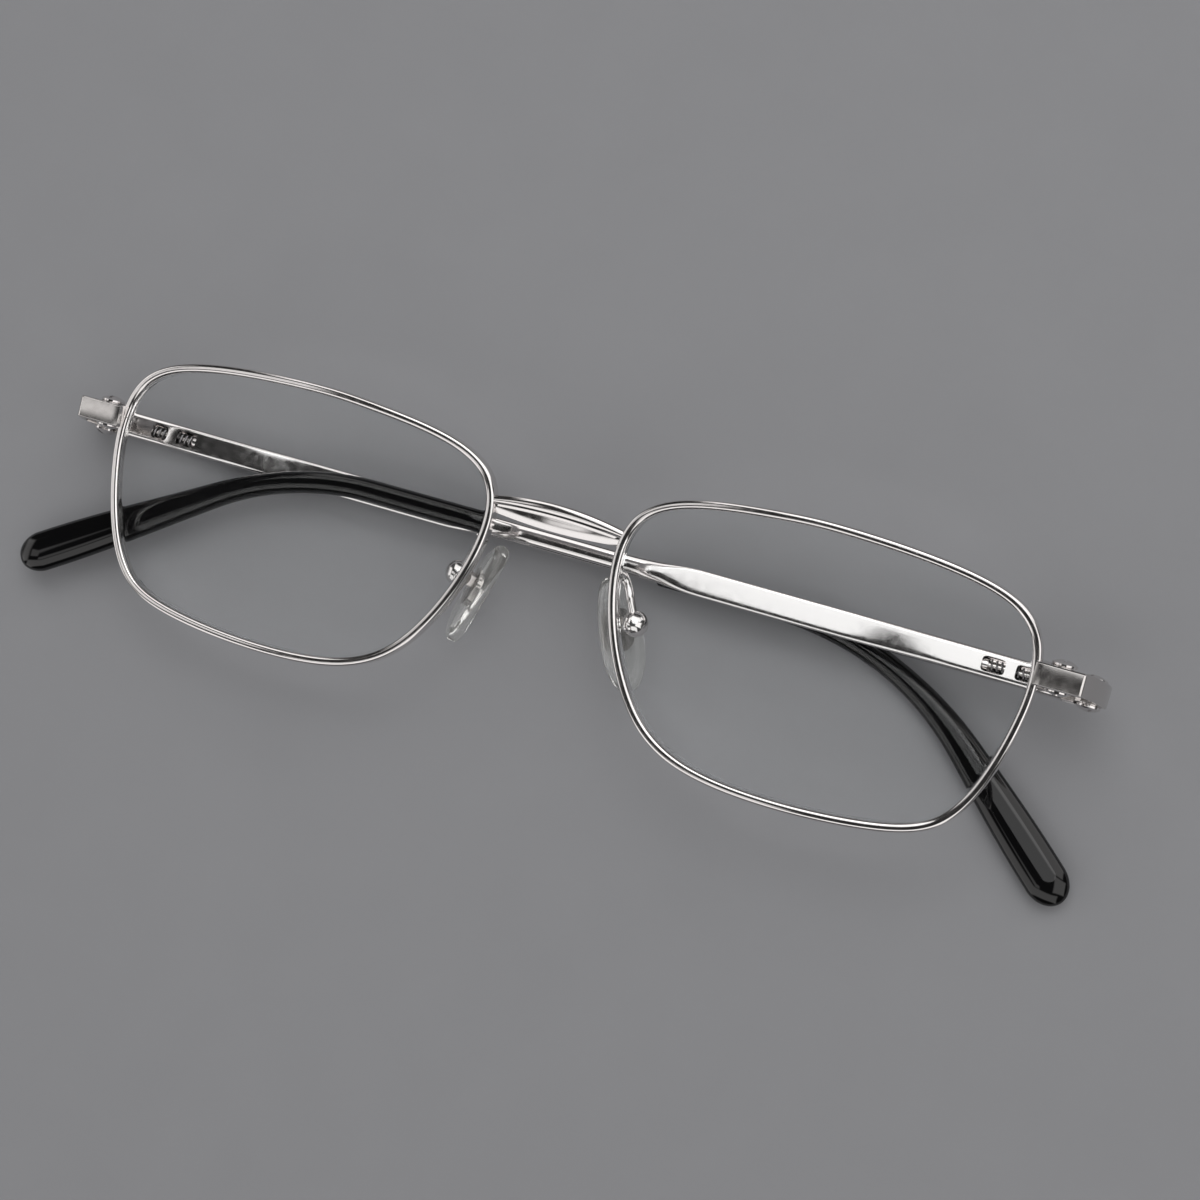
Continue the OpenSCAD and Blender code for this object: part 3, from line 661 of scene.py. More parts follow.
def wear(obj: bpy.types.Object, finish: Finish, body: str, nodes: Sequence[str]) -> None:
    """Dresses a finished piece and fastens it to its body.

    Args:
        obj: the piece, at the origin with its place in its mesh.
        finish: its finish.
        body: the body that it rides on.
        nodes: solids of the frame that it stands for.
    """
    obj.data.materials.clear()
    obj.data.materials.append(finish.material())
    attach(obj, body)
    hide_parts(*nodes)
    LOG.info("%s: %s, %d faces, on %s", obj.name, finish.name, len(obj.data.polygons), body)


def dress_node(name: str, finish: Finish) -> None:
    """Gives a solid of the frame its finish."""
    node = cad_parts[name]
    if not node.material_slots:
        node.data.materials.append(None)
    for slot in node.material_slots:
        slot.link = "OBJECT"
        slot.material = finish.material()
    LOG.info("%s: %s, solid of the frame", name, finish.name)


# Front


@dataclass
class LensShape:
    """The outline and curve that the rims and lenses share."""

    width: float = 52.2
    height: float = 33.7
    gap: float = 17.9
    base_radius: float = 130.0
    wrap: float = 0.5
    # Steering points as shares of half the width and height, towards the temple first
    steer: tuple[tuple[float, float], ...] = (
        (0.974, 0.019), (1.0, 0.418), (0.895, 0.891), (-0.007, 0.983), (-0.27, 0.952),
        (-0.69, 0.894), (-0.997, 0.7), (-0.998, 0.131), (-0.823, -0.531), (-0.513, -1.045),
        (0.549, -0.971), (0.792, -0.778), (0.907, -0.402),
    )

    def __post_init__(self) -> None:
        """Works out how far the steering points reach."""
        self._steer = [Vector(p) for p in self.steer]
        count = 8 * len(self._steer)
        raw = [closed_curve(self._steer, i / count) for i in range(count)]
        self._low = Vector((min(p.x for p in raw), min(p.y for p in raw)))
        self._high = Vector((max(p.x for p in raw), max(p.y for p in raw)))

    def at(self, t: float) -> Vector:
        """A point of the outline in the lens's plane, where t of 1 is once round."""
        p = closed_curve(self._steer, t)
        return Vector((
            self.width * ((p.x - self._low.x) / (self._high.x - self._low.x) - 0.5),
            self.height * ((p.y - self._low.y) / (self._high.y - self._low.y) - 0.5),
        ))

    def outward(self, t: float) -> Vector:
        """The outline's outward direction at t."""
        step = 0.002
        d = (self.at(t + step) - self.at(t - step)).normalized()
        return Vector((d.y, -d.x))

    def sag(self, p: Vector) -> float:
        """Depth of the curved lens at a point of its plane."""
        return self.base_radius - math.sqrt(self.base_radius**2 - p.length_squared)

    @property
    def corner_span(self) -> float:
        """The stretch of the outline that passes the end piece, from t of 0."""
        return 1.6 / len(self.steer)

    def find(self, height: float, low: float, high: float) -> float:
        """The place between low and high at which the outline crosses a height."""
        rising = self.at(high).y > self.at(low).y
        for _ in range(30):
            middle = (low + high) / 2
            if (self.at(middle).y < height) == rising:
                low = middle
            else:
                high = middle
        return (low + high) / 2

    def place(self, side: Side) -> Matrix:
        """From a lens's plane, y deep, to the row's frame."""
        centre = (self.gap + self.width) / 2
        return LYING.matrix() @ side.mirror() @ shift(centre, 0, 0) @ turn("Z", self.wrap)

    def in_front(self, u: float, depth: float) -> tuple[float, float]:
        """The x and y in the front's frame of a place in the lens's plane."""
        a = math.radians(self.wrap)
        centre = (self.gap + self.width) / 2
        return centre + u * math.cos(a) - depth * math.sin(a), u * math.sin(a) + depth * math.cos(a)


@dataclass
class Rims:
    """The two rims: flat wire with rounded corners, closed at the end pieces."""

    shape: LensShape
    width: float = 1.15
    depth: float = 2.0
    corner: float = 0.42
    inside: float = -0.45
    kerf: float = 0.1
    split_height: float = 6.75
    steps: int = 420

    def build(self) -> None:
        """Sweeps both rims and puts them on the front."""
        sizes = {"Width": self.width, "Depth": self.depth, "Corner": self.corner}
        tree = sweep("rim wire", sizes, flat_profile, upright=True)
        span = self.shape.corner_span
        start = self.shape.find(self.split_height + self.kerf / 2, 0, span)
        stop = self.shape.find(self.split_height - self.kerf / 2, 0, span) + 1
        middle = self.inside + self.width / 2
        points = []
        for i in range(self.steps + 1):
            t = lerp(start, stop, i / self.steps)
            p = self.shape.at(t) + self.shape.outward(t) * middle
            points.append(Vector((p.x, p.y, -self.shape.sag(p))))
        for side in Side:
            rim = path_object(f"{side.word}_rim_wire", points)
            tree.use(rim, POLISHED_STEEL.material())
            # the sweep lies flat with its depth along z, and stands up as the lens does
            place_mesh(rim, self.shape.place(side) @ turn("X", 90))
            smooth(rim.data, 50.0)
            wear(rim, POLISHED_STEEL, "front", [f"{side.word}_rim"])


@dataclass
class Lenses:
    """The two lenses: curved sheets with a rounded edge inside the rim."""

    shape: LensShape
    thickness: float = 1.7
    inset: float = 0.56
    edge_rounding: float = 0.18
    edge_share: float = 0.009
    tongue: float = 0.5
    tongue_inset: float = 0.02
    rings: int = 26
    steps: int = 208

    def outline(self, inset: float) -> list[Vector]:
        """The outline of the rims' shape, drawn in by an inset."""
        places = [i / self.steps for i in range(self.steps)]
        return [self.shape.at(t) - self.shape.outward(t) * inset for t in places]

    def row(self, points: Sequence[Vector], share: float, level: float) -> Ring:
        """The points at a share of their reach and a level off the curved middle."""
        drawn = [p * share for p in points]
        return [Vector((p.x, self.shape.sag(p) + level, p.y)) for p in drawn]

    def build(self) -> None:
        """Makes both lenses and puts them on the front."""
        edge, deep = self.outline(self.inset), self.outline(self.tongue_inset)
        half, lip = self.thickness / 2, self.tongue / 2
        rings = []
        for face in (-1, 1):
            rows = [
                self.row(edge, math.sin(math.pi / 2 * k / self.rings), face * half)
                for k in range(1, self.rings)
            ]
            rows += [
                self.row(edge, 1 - self.edge_share, face * half),
                self.row(edge, 1.0, face * (half - self.edge_rounding)),
                self.row(edge, 1.0, face * lip), self.row(deep, 1.0, face * lip),
            ]
            rings += rows if face < 0 else rows[::-1]
        for side in Side:
            lens = loft(f"{side.word}_lens_sheet", rings, self.shape.place(side), crease=25.0)
            wear(lens, COATED_LENS, "front", [f"{side.word}_lens"])


@dataclass
class Bridge:
    """The arched strip between the rims, with a rounded band above a hollow lower face."""

    shape: LensShape
    height: float = 2.1
    thickness: float = 1.4
    level: float = 8.8
    rise: float = 1.0
    drop: float = 1.4
    bow: float = 0.6
    rim_outside: float = 0.7
    rim_bite: float = 0.22
    forward: float = 0.1
    steps: int = 64

    def build(self) -> None:
        """Makes the bridge and puts it on the front."""
        h, t = self.height / 2, self.thickness / 2
        face = [
            Vector(p) for p in (
                (-0.45 * t, h), (0.45 * t, h), (t, 0.6 * h), (t, -0.7 * h), (0.6 * t, -h),
                (-0.2 * t, -h), (-0.36 * t, -0.78 * h), (-0.47 * t, -0.52 * h), (-0.53 * t, -0.26 * h),
                (-0.55 * t, -0.02 * h), (-0.66 * t, 0.06 * h), (-0.84 * t, 0.14 * h), (-0.96 * t, 0.27 * h),
                (-t, 0.42 * h), (-0.97 * t, 0.6 * h), (-0.87 * t, 0.76 * h), (-0.7 * t, 0.91 * h),
            )
        ]
        y0 = self.shape.sag(Vector((self.shape.width / 2, 0))) - self.forward
        end_u = self.shape.at(self.shape.find(self.level, 0.36, 0.55)).x - self.rim_outside
        half = self.shape.in_front(end_u, y0)[0] + self.rim_bite
        rings = []
        for i in range(self.steps + 1):
            f = 2 * i / self.steps - 1
            crown = 1 - f * f
            lean = math.atan2(-4 * self.rise * f, 2 * half)
            ring = []
            for q in face:
                low = min(1.0, max(0.0, (0.65 * h - q.y) / (1.65 * h)))
                v = q.y - self.drop * crown * low
                ring.append(Vector((
                    half * f - v * math.sin(lean), y0 - self.bow * crown + q.x,
                    self.level + self.rise * crown + v * math.cos(lean),
                )))
            rings.append(ring)
        bridge = loft("bridge_strip", rings, LYING.matrix(), crease=36.0)
        wear(bridge, POLISHED_STEEL, "front", ["bridge"])


@dataclass
class EndPieces:
    """The strips that run across the rims, turn a corner and sweep back to the hinges."""

    shape: LensShape
    height: float = 2.8
    strip: float = 1.0
    block: float = 2.0
    wall: float = 0.53
    level: float = 6.75
    reach: float = 4.95
    corner_turn: float = 60.0
    corner_radius: float = 0.6
    hinge_back: float = 9.0
    step: float = 1.45
    rim_depth: float = 2.0
    rim_outside: float = 0.7
    lock_end: float = 3.5
    butt_gap: float = 0.06
    lap: float = 0.55
    chamfer: float = 0.16
    rounding: float = 0.09

    def build(self) -> None:
        """Makes both end pieces and puts them on the front."""
        p = self.shape.at(self.shape.find(self.level, 0, self.shape.corner_span))
        edge_x = self.shape.in_front(p.x + self.rim_outside, self.shape.sag(p))[0]
        front_y = self.shape.in_front(p.x, self.shape.sag(p))[1] - self.rim_depth / 2 - self.step
        start_x, corner_x = edge_x - self.lap, edge_x + self.reach
        hinge_y = front_y + self.hinge_back
        turned = math.radians(self.corner_turn)
        sweep_x = corner_x + self.corner_radius * math.sin(turned)
        sweep_y = front_y + self.corner_radius * (1 - math.cos(turned))
        sweep_r = (hinge_y - sweep_y) / math.cos(turned)
        block_x = edge_x + self.lock_end
        places = [(lerp(start_x, block_x, i / 4), front_y, 0.0, self.block, 0.0) for i in range(5)]
        places.append((corner_x, front_y, 0.0, self.strip, 0.0))
        for i in range(1, 13):
            a = turned * i / 12
            places.append((
                corner_x + self.corner_radius * math.sin(a),
                front_y + self.corner_radius * (1 - math.cos(a)), a, self.strip, 0.0,
            ))
        for i in range(1, 25):
            f = i / 24
            a = lerp(turned, math.pi / 2, f)
            short = self.butt_gap / 2 if i == 24 else 0.0
            places.append((
                sweep_x + sweep_r * (math.sin(a) - math.sin(turned)),
                sweep_y + sweep_r * (math.cos(turned) - math.cos(a)) - short,
                a, lerp(self.strip, self.wall, f), math.radians(LYING.panto) * ease(f),
            ))
        h, c = self.height / 2, self.chamfer
        for side in Side:
            rings = []
            for x, y, a, t, lean in places:
                fall = max(0.0, y - front_y - self.block / 2) * math.tan(math.radians(LYING.panto))
                edge = (
                    (0, c - h), (c, -h), (t - c, -h), (t, c - h),
                    (t, h - c), (t - c, h), (c, h), (0, h - c),
                )
                rings.append([
                    Vector((
                        x - math.sin(a) * u,
                        y + math.cos(a) * u + w * math.sin(lean),
                        self.level - fall + w * math.cos(lean),
                    ))
                    for u, w in edge
                ])
            strip = loft(f"{side.word}_end_strip", rings, LYING.matrix() @ side.mirror(), crease=24.0)
            round_edges(strip, self.rounding, 3, 25.0)
            wear(strip, SATIN_STEEL, "front", [f"{side.word}_end_piece"])


@dataclass
class Fasteners:
    """The slotted screws and cap nuts of the rim locks and the hinges."""

    head_d: float = 3.1
    head_h: float = 0.8
    slot_w: float = 0.34
    slot_depth: float = 0.3
    stem_past: float = 0.3
    edge: float = 0.06
    crown_r: float = 0.1
    lock: tuple[float, float, float] = (64.1054, 3.7389, 6.75)

    def head_rings(self) -> list[Ring]:
        """Rings of a domed head from its seat to its crown.

        Returns:
            The rings, along z.
        """
        r = self.head_d / 2
        rise = self.head_h * 0.6
        ball = (r * r + rise * rise) / (2 * rise)
        levels = [(0.0, r - self.edge), (self.edge, r), (self.head_h - rise, r)]
        for i in range(1, 13):
            radius = lerp(r, self.crown_r, i / 12)
            levels.append((self.head_h - ball + math.sqrt(ball * ball - radius * radius), radius))
        return [disc(radius, z) for z, radius in levels]

    def button(self, name: str, seat: Matrix) -> bpy.types.Object:
        """A domed head with a slot.

        Args:
            name: the piece's name.
            seat: from its own frame, z along the screw, to the row's.

        Returns:
            The new object.
        """
        head = loft(name, self.head_rings(), seat, 30.0)
        slot = block(
            "slot", (-self.head_d, -self.slot_w / 2, self.head_h - self.slot_depth),
            (self.head_d, self.slot_w / 2, 2 * self.head_h), seat,
        )
        cut(head, [slot], 30.0)
        return head

    def build(self) -> None:
        """Places a screw head and a nut on every lock and hinge."""
        for side in Side:
            lock = LYING.matrix() @ side.mirror() @ shift(*self.lock)
            hinge = LYING.hinge_axis(side)
            # Half the height between the heads, the shank's diameter and the turn of the slots
            for word, axis, half, shank, turned in (
                ("rim_lock", lock, 1.4, 1.1, 90.0), ("hinge", hinge, 1.45, 1.2, 65.0),
            ):
                seat = axis @ shift(0, 0, half) @ turn("Z", turned)
                head = self.button(f"{side.word}_{word}_screw_head", seat)
                stem_z = -half - self.stem_past
                self.join(head, peg("stem", shank / 2, half - stem_z, axis @ shift(0, 0, stem_z)))
                wear(head, POLISHED_STEEL, "front", [f"{side.word}_{word}_screw"])
                under = axis @ turn("X", 180) @ shift(0, 0, half) @ turn("Z", turned)
                nut = self.button(f"{side.word}_{word}_nut_cap", under)
                wear(nut, POLISHED_STEEL, "front", [f"{side.word}_{word}_nut"])

    @staticmethod
    def join(obj: bpy.types.Object, other: bpy.types.Object) -> None:
        """Adds another object's mesh to a piece and removes that object."""
        build = bmesh.new()
        build.from_mesh(obj.data)
        build.from_mesh(other.data)
        build.to_mesh(obj.data)
        build.free()
        bpy.data.objects.remove(other)


@dataclass
class NosePads:
    """The clear pads, their cores, and the arms, boxes and screws that carry them."""

    shape: LensShape
    length: float = 15.0
    width: float = 6.8
    thickness: float = 2.4
    offset: tuple[float, float, float] = (-3.1, 0.2, -1.6)
    arm_d: float = 1.1
    arm_height: float = 4.6
    arm_bite: float = 0.14
    rim_depth: float = 2.0
    # The pad's taper, its bow, the roundness of its border and the size of its middle ring
    taper: float = 0.14
    bow: float = 0.35
    border: float = 0.42
    middle: float = 0.06

    def build(self) -> None:
        """Makes both pads with their arms."""
        tree = sweep("round wire", {"Wire diameter": self.arm_d, "Sides": 24}, round_profile)
        for side in Side:
            self.arm(side, tree)
            self.pad(side)
            dress_node(f"{side.word}_pad_box", POLISHED_STEEL)
            dress_node(f"{side.word}_pad_screw", POLISHED_STEEL)
            dress_node(f"{side.word}_pad_core", SATIN_STEEL)

    def arm(self, side: Side, tree: PieceTree) -> None:
        """Sweeps one pad arm from the rim's back to its box."""
        height = self.arm_height
        joint = self.shape.at(self.shape.find(height, 0.4, 0.66)).x
        root = Vector((
            self.shape.in_front(joint, 0)[0],
            self.shape.sag(Vector((joint, height))) + self.rim_depth / 2 - self.arm_bite, height,
        ))
        box, up = Vector(LYING.box), LYING.pad_up()
        route = [
            root + Vector((0, -0.05, 0)), root + Vector((0.18, 0.58, -0.04)),
            root + Vector((0.59, 1.38, -0.62)), box + 4.04 * up + Vector((0, 0.36, 0)),
            box + 3.4 * up, box + 2.3 * up, box + 1.2 * up,
        ]
        arm = path_object(f"{side.word}_pad_wire", [open_curve(route, i / 72) for i in range(73)])
        tree.use(arm, POLISHED_STEEL.material())
        place_mesh(arm, LYING.matrix() @ side.mirror())
        smooth(arm.data, 50.0)
        wear(arm, POLISHED_STEEL, "front", [f"{side.word}_pad_arm"])

    def pad(self, side: Side) -> None:
        """Makes one soft pad, crowned where it meets the nose."""
        count, layers = 72, 28
        rings = []
        for i in range(layers + 1):
            a = -math.pi / 2 + math.pi * i / layers
            out = math.sin(a)
            reach = lerp(self.middle, 1.0, max(0.0, math.cos(a)) ** self.border)
            ring = []
            for j in range(count):
                q = 2 * math.pi * j / count
                z = math.sin(q) * self.length / 2
                y = math.cos(q) * self.width / 2 * (1 - self.taper * math.sin(q))
                crown = self.bow * (z * 2 / self.length) ** 2
                ring.append(Vector((
                    out * self.thickness / 2 - crown, y * reach,
                    z * (1 - (1 - reach) * self.width / self.length),
                )) + Vector(self.offset))
            rings.append(ring)
        pad = loft(f"{side.word}_soft_pad", rings, LYING.pad(side), crease=60.0)
        wear(pad, CLEAR_SILICONE, f"{side.word}_pad", [f"{side.word}_nose_pad"])


@dataclass
class Temples:
    """The temples: spring housing with two windows, wide part, neck and glossy sleeve."""

    length: float = 146.0
    bend_at: float = 94.3
    bend_r: float = 41.3
    left_bend: float = 32.0
    right_bend: float = 42.0
    bar_h: float = 3.4
    bar_t: float = 2.85
    housing: float = 17.0
    wide_to: float = 49.0
    neck_h: float = 2.3
    neck_t: float = 1.3
    sleeve_at: float = 79.0
    tip_h: float = 5.4
    tip_t: float = 2.9
    core_h: float = 1.5
    core_t: float = 1.0
    outer_off: float = 2.15
    relief_r: float = 1.62
    housing_y0: float = 3.25
    channel_d: float = 1.96
    channel_end: float = 14.59
    spring_travel: float = 1.0
    # Windows in the housing: start and length of each
    windows: tuple[tuple[float, float], ...] = ((6.9, 2.3), (10.5, 2.9))
    window_h: float = 1.9
    # How much thicker and taller the sleeve is than the neck, and where it swells
    sleeve_over: tuple[float, float] = (1.1, 0.6)
    thicken_len: float = 44.0
    swell: tuple[float, float] = (30.0, 32.0)
    end_rounding: float = 3.4
    end_gap: float = 0.02
    # The sleeve's size at its first two rings, as shares of the full one
    mouth: tuple[float, float] = (0.86, 0.96)

    def bend(self, side: Side) -> float:
        """Angle of a side's ear bend, in degrees."""
        return self.left_bend if side is Side.LEFT else self.right_bend

    def heading(self, s: float, side: Side) -> float:
        """How far the temple has turned down at a length along it, in radians."""
        angle = math.radians(self.bend(side))
        return min(angle, max(0.0, (s - self.bend_at) / self.bend_r))

    def centre(self, s: float, side: Side) -> Vector:
        """The middle of the temple at a length along it."""
        a = self.heading(s, side)
        run = self.bend_r * math.radians(self.bend(side))
        past = max(0.0, s - self.bend_at - run)
        x = lerp(self.outer_off - self.bar_t / 2, 0.1, ease((s - self.housing) / 70))
        y = min(s, self.bend_at) + self.bend_r * math.sin(a) + past * math.cos(a)
        return Vector((x, y, -self.bend_r * (1 - math.cos(a)) - past * math.sin(a)))

    def ring(self, s: float, side: Side, outline: Sequence[tuple[float, float]]) -> Ring:
        """An outline standing across the temple at a length along it."""
        c, a = self.centre(s, side), self.heading(s, side)
        return [c + Vector((u, w * math.sin(a), w * math.cos(a))) for u, w in outline]

    def build(self) -> None:
        """Makes both temples and dresses the spring hinges inside them."""
        for side in Side:
            self.bar(side)
            self.sleeve(side)
            self.spring(side)
            for word, finish in (
                ("hinge_slider", SATIN_STEEL), ("slider_nut", POLISHED_STEEL), ("spring_bush", SATIN_STEEL),
            ):
                dress_node(f"{side.word}_{word}", finish)

    def spring(self, side: Side) -> None:
        """Copies one coil of the frame and fastens it to its temple."""
        node = f"{side.word}_hinge_spring"
        coil = mesh_object(f"{side.word}_coil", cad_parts[node].data.copy())
        wear(coil, SPRING_WIRE, f"{side.word}_temple", [node])
        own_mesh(coil)

    def bar(self, side: Side) -> None:
        """Makes one bar and cuts the knuckle relief, the spring channel and the windows."""
        stations = [0.03, 2, 4, 8, 12, self.housing]
        stations += [self.housing + i for i in range(1, 15)]
        stations += [lerp(31, self.wide_to, i / 6) for i in range(1, 6)]
        stations += [self.wide_to + 0.5 * i for i in range(21)]
        stations += [64, 69, 74, self.sleeve_at - 0.01, self.sleeve_at, 88]
        stations += [self.bend_at + i for i in range(0, 32, 2)] + [133, self.length - 6]
        rings = []
        for s in stations:
            bare = s < self.sleeve_at
            t = lerp(self.bar_t, self.neck_t, ease((s - self.housing) / 14)) if bare else self.core_t
            h = lerp(self.bar_h, self.neck_h, ease((s - self.wide_to) / 10)) if bare else self.core_h
            square = lerp(6, 2.4, ease((s - self.wide_to - 1) / 5)) if bare else 5
            rings.append(self.ring(s, side, oval(t / 2, h / 2, square, 48)))
        place = LYING.temple(side)
        bar = loft(f"{side.word}_bar", rings, place, crease=30.0)
        rod_x = self.outer_off - self.bar_t / 2 - 0.08
        cutters = [
            block("relief", (self.relief_r - 6, -1, -4), (self.relief_r, self.housing_y0, 4), place),
            peg(
                "channel", self.channel_d / 2, self.channel_end - self.housing_y0 + 1,
                place @ shift(rod_x, self.housing_y0 - 1, 0) @ turn("X", -90),
            ),
            *(self.window(rod_x, start, span, place) for start, span in self.windows),
        ]
        cut(bar, cutters, 30.0)
        wear(bar, POLISHED_STEEL, f"{side.word}_temple", [f"{side.word}_temple_bar"])

    def window(self, rod_x: float, start: float, span: float, place: Matrix) -> bpy.types.Object:
        """A block with rounded corners that cuts one window down to the rod.

        Args:
            rod_x: where the rod's middle lies across the bar.
            start: where the window starts along the bar.
            span: its length.
            place: from the temple's frame to the row's.

        Returns:
            The new object.
        """
        outline = oval(span / 2, self.window_h / 2, 5, 40)
        rings = [[Vector((x, start + span / 2 + u, w)) for u, w in outline] for x in (rod_x - 6, rod_x)]
        return loft("window", rings, place)

    def sleeve(self, side: Side) -> None:
        """Makes one sleeve, which swells from its mouth to a flat rounded end."""
        end, rounding = self.length - self.end_gap, self.end_rounding
        run = self.bend_r * math.radians(self.bend(side))
        stations = [self.sleeve_at, self.sleeve_at + 0.15, self.sleeve_at + 0.4]
        stations += [lerp(self.sleeve_at + 0.4, self.bend_at, i / 8) for i in range(1, 8)]
        stations += [self.bend_at + run * i / 20 for i in range(21)]
        stations += [lerp(self.bend_at + run, end - rounding, i / 10) for i in range(1, 11)]
        stations += [end - rounding * (1 - math.sin(math.pi / 2 * i / 20.3)) for i in range(1, 21)]
        rings = []
        mouth_t, mouth_h = self.neck_t + self.sleeve_over[0], self.neck_h + self.sleeve_over[1]
        swell_at, swell_len = self.swell
        for i, s in enumerate(stations):
            f = min(1.0, max(0.0, (s - end + rounding) / rounding))
            k = math.sqrt(max(0.0, 1 - f * f)) * (self.mouth[i] if i < len(self.mouth) else 1.0)
            t = lerp(mouth_t, self.tip_t, ease((s - self.sleeve_at) / self.thicken_len))
            h = lerp(mouth_h, self.tip_h, ease((s - self.sleeve_at - swell_at) / swell_len))
            rings.append(self.ring(s, side, oval(k * t / 2, k * h / 2, 2.15, 64)))
        sleeve = loft(f"{side.word}_sleeve", rings, LYING.temple(side), crease=60.0)
        wear(sleeve, BLACK_ACETATE, f"{side.word}_temple", [f"{side.word}_temple_tip"])


# Setting


@dataclass(frozen=True)
class SoftBox:
    """A soft box overhead, by the share of x and y in the directions that it fills."""

    x: tuple[float, float]
    y: tuple[float, float]
    strength: float
    soft: float = 0.05

    def glow(self, tree: bpy.types.NodeTree, parts: bpy.types.Node) -> bpy.types.NodeSocket:
        """Adds the box to the surroundings.

        Args:
            tree: the world's tree.
            parts: the node that gives a direction's x, y and z.

        Returns:
            How brightly the box shines in each direction.
        """
        shine = add_node(tree, "ShaderNodeMath", {0: parts.outputs["Z"], 1: 0.0}, operation="GREATER_THAN")
        for axis, (low, high) in (("X", self.x), ("Y", self.y)):
            for border, start, stop in ((low, 0.0, 1.0), (high, 1.0, 0.0)):
                fade = add_node(
                    tree, "ShaderNodeMapRange",
                    {"Value": parts.outputs[axis], "From Min": border - self.soft,
                     "From Max": border + self.soft, "To Min": start, "To Max": stop},
                    interpolation_type="SMOOTHSTEP",
                )
                shine = add_node(
                    tree, "ShaderNodeMath", {0: shine.outputs[0], 1: fade.outputs[0]}, operation="MULTIPLY"
                )
        return add_node(
            tree, "ShaderNodeMath", {0: shine.outputs[0], 1: self.strength}, operation="MULTIPLY"
        ).outputs[0]


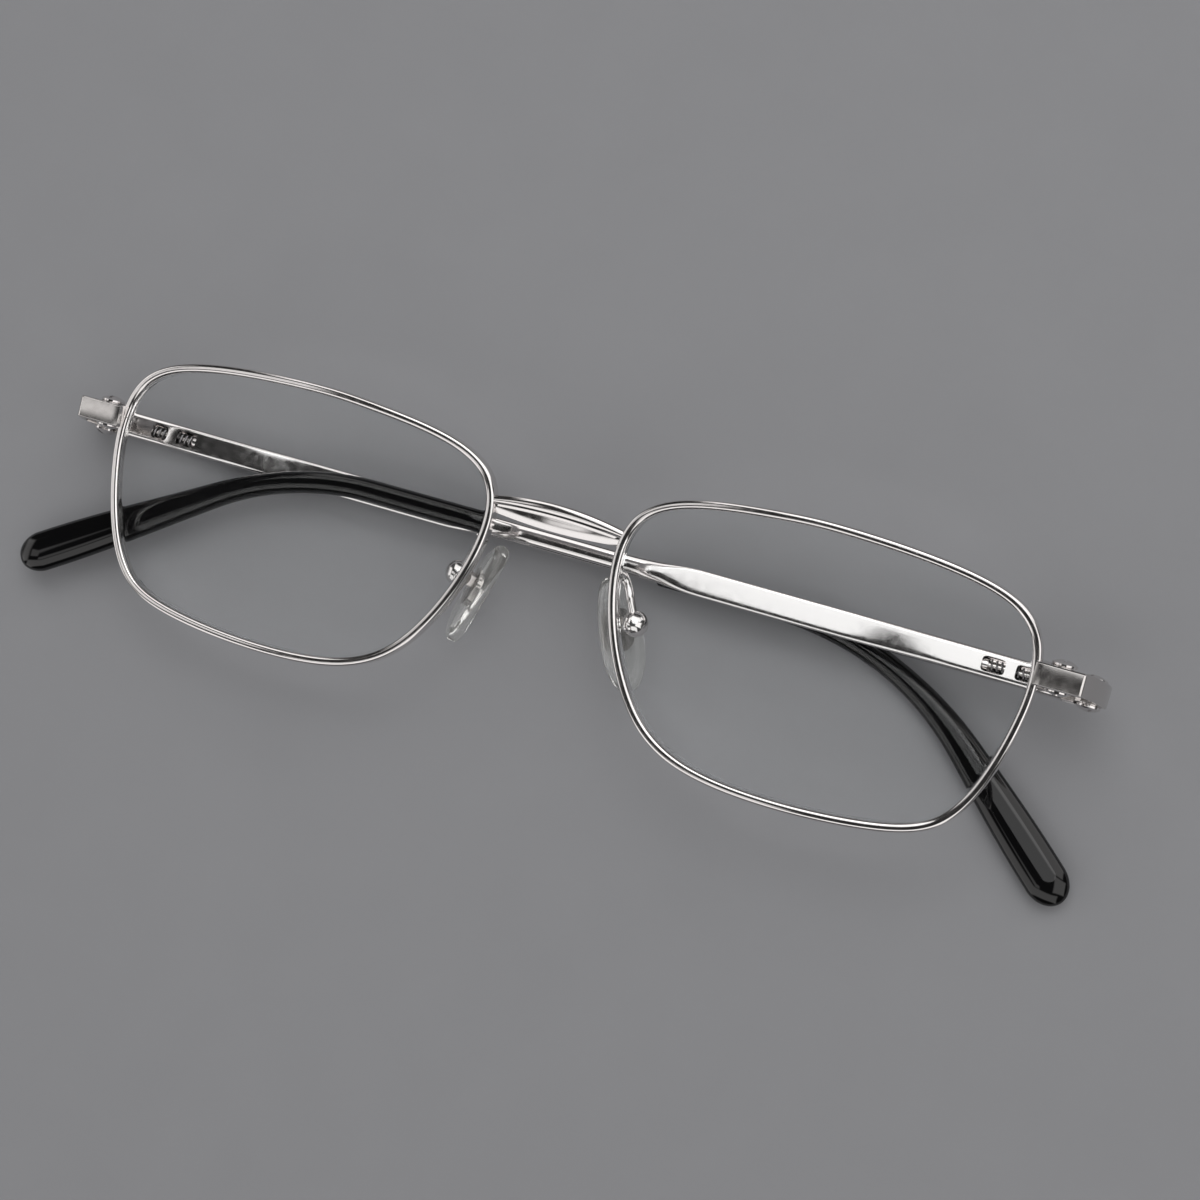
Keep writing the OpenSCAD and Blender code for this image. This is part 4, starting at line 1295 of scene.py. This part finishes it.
@dataclass
class Studio:
    """The grey paper, the soft lamps, the surroundings and the camera."""

    # Camera in the front's frame: its place in millimetres, and its right and down directions
    seat: tuple[float, float, float] = (92.011, -278.758, 29.462)
    right: tuple[float, float, float] = (0.9214, 0.301, 0.246)
    down: tuple[float, float, float] = (0.2638, -0.0193, -0.9644)
    lens: float = 72.0
    # Metres that the paper reaches, how far its halves overlap, and how far down an open temple swings, which
    # sets how deep the low sheet lies
    paper_reach: float = 9.0
    lap: float = 0.5
    swing: float = 150.0
    lamp_d: float = 0.5
    lamp_place: tuple[float, float, float] = (0.05, 0.19, 0.52)
    lamp_power: float = 0.72
    room: float = 0.025
    boxes: tuple[SoftBox, ...] = (
        SoftBox((-0.70, -0.44), (-0.26, -0.02), 0.85, 0.03),
        SoftBox((-0.38, -0.19), (-0.43, -0.31), 0.9, 0.03),
        SoftBox((-0.75, 0.6), (-0.85, -0.46), 1.1, 0.04),
        SoftBox((-0.55, 0.75), (0.36, 0.85), 1.25, 0.04),
        SoftBox((0.34, 0.92), (-0.35, 0.3), 1.25, 0.04),
        SoftBox((-0.97, -0.76), (-0.5, 0.35), 1.1, 0.05),
    )

    def build(self) -> None:
        """Makes the setting and points the camera."""
        scene = bpy.context.scene
        scene.view_settings.view_transform = "Standard"
        self.paper()
        self.lamp()
        self.surroundings(scene)
        self.camera(scene)

    def paper(self) -> None:
        """Two sheets of paper just under the glasses, one for each side, and one far below.

        The glasses lie on their folded temples, so a temple that opens swings down below them.
        Each side has its own sheet, and the sheet far below lies deeper than an open temple swings.
        """
        level = CAD_BOX[0][2]
        for side in Side:
            reach = sorted((-self.lap * MM * side.value, self.paper_reach * side.value))
            shift_down = 0.01 * MM if side is Side.RIGHT else 0.0
            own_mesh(self.sheet(f"{side.word}_paper", reach, level - shift_down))
        self.sheet("low_paper", (-self.paper_reach, self.paper_reach), level - (self.swing + 0.1) * MM)

    def sheet(self, name: str, reach: Sequence[float], z: float) -> bpy.types.Object:
        """One level sheet of the paper, over a reach of x.

        Args:
            name: the sheet's name.
            reach: its lowest and highest x.
            z: its height.

        Returns:
            The new object, marked as part of the setting.
        """
        (near, far), side = reach, self.paper_reach
        mesh = bpy.data.meshes.new(name)
        mesh.from_pydata(
            [(near, -side, z), (far, -side, z), (far, side, z), (near, side, z)], [], [(0, 1, 2, 3)]
        )
        sheet = mesh_object(name, mesh)
        sheet.data.materials.append(GREY_PAPER.material())
        return sheet

    def lamp(self) -> None:
        """A round lamp close overhead, so close that only one of the temples reflects it."""
        light = bpy.data.lights.new("lamp", "AREA")
        light.shape = "DISK"
        light.size = self.lamp_d
        light.energy = self.lamp_power
        lamp = bpy.data.objects.new("lamp", light)
        lamp.location = self.lamp_place
        lamp.rotation_euler = lamp.location.to_track_quat("Z", "Y").to_euler()
        bpy.context.scene.collection.objects.link(lamp)

    def surroundings(self, scene: bpy.types.Scene) -> None:
        """A dim room with soft boxes that have soft borders."""
        world = bpy.data.worlds.new("studio")
        scene.world = world
        world.use_nodes = True
        tree = world.node_tree
        tree.nodes.clear()
        spot = add_node(tree, "ShaderNodeTexCoord")
        parts = add_node(tree, "ShaderNodeSeparateXYZ", {0: spot.outputs["Generated"]})
        total = self.room
        for box in self.boxes:
            sums = {0: total, 1: box.glow(tree, parts)}
            total = add_node(tree, "ShaderNodeMath", sums, operation="ADD").outputs[0]
        light = add_node(tree, "ShaderNodeBackground", {"Color": linear("#FFFDFC"), "Strength": total})
        add_node(tree, "ShaderNodeOutputWorld", {"Surface": light.outputs[0]})

    def camera(self, scene: bpy.types.Scene) -> None:
        """Puts the camera at the photograph's viewing angle."""
        lay = LYING.matrix() @ Matrix.Scale(1 / MM, 4)
        right, down = Vector(self.right).normalized(), Vector(self.down).normalized()
        back = right.cross(-down)
        turned = Matrix((right, -down, back)).transposed().to_4x4()
        data = bpy.data.cameras.new("camera")
        data.sensor_width = 36.0
        data.lens = self.lens
        data.clip_start = 0.01
        camera = bpy.data.objects.new("camera", data)
        camera.matrix_world = shift(*(LYING.matrix() @ Vector(self.seat))) @ lay.to_3x3().to_4x4() @ turned
        scene.collection.objects.link(camera)
        scene.camera = camera


def main() -> None:
    """Builds the setting and the glasses, piece by piece."""
    logging.basicConfig(level=logging.INFO, format="%(message)s")
    Studio().build()
    shape = LensShape()
    builders: list[Callable[[], None]] = [
        Rims(shape).build, Lenses(shape).build, Bridge(shape).build, EndPieces(shape).build,
        Fasteners().build, NosePads(shape).build, Temples().build,
    ]
    for build in builders:
        build()
    for side in Side:
        for word in ("rim_lock_upper", "rim_lock_lower", "hinge_block"):
            dress_node(f"{side.word}_{word}", SATIN_STEEL)


if __name__ == "__main__":
    main()
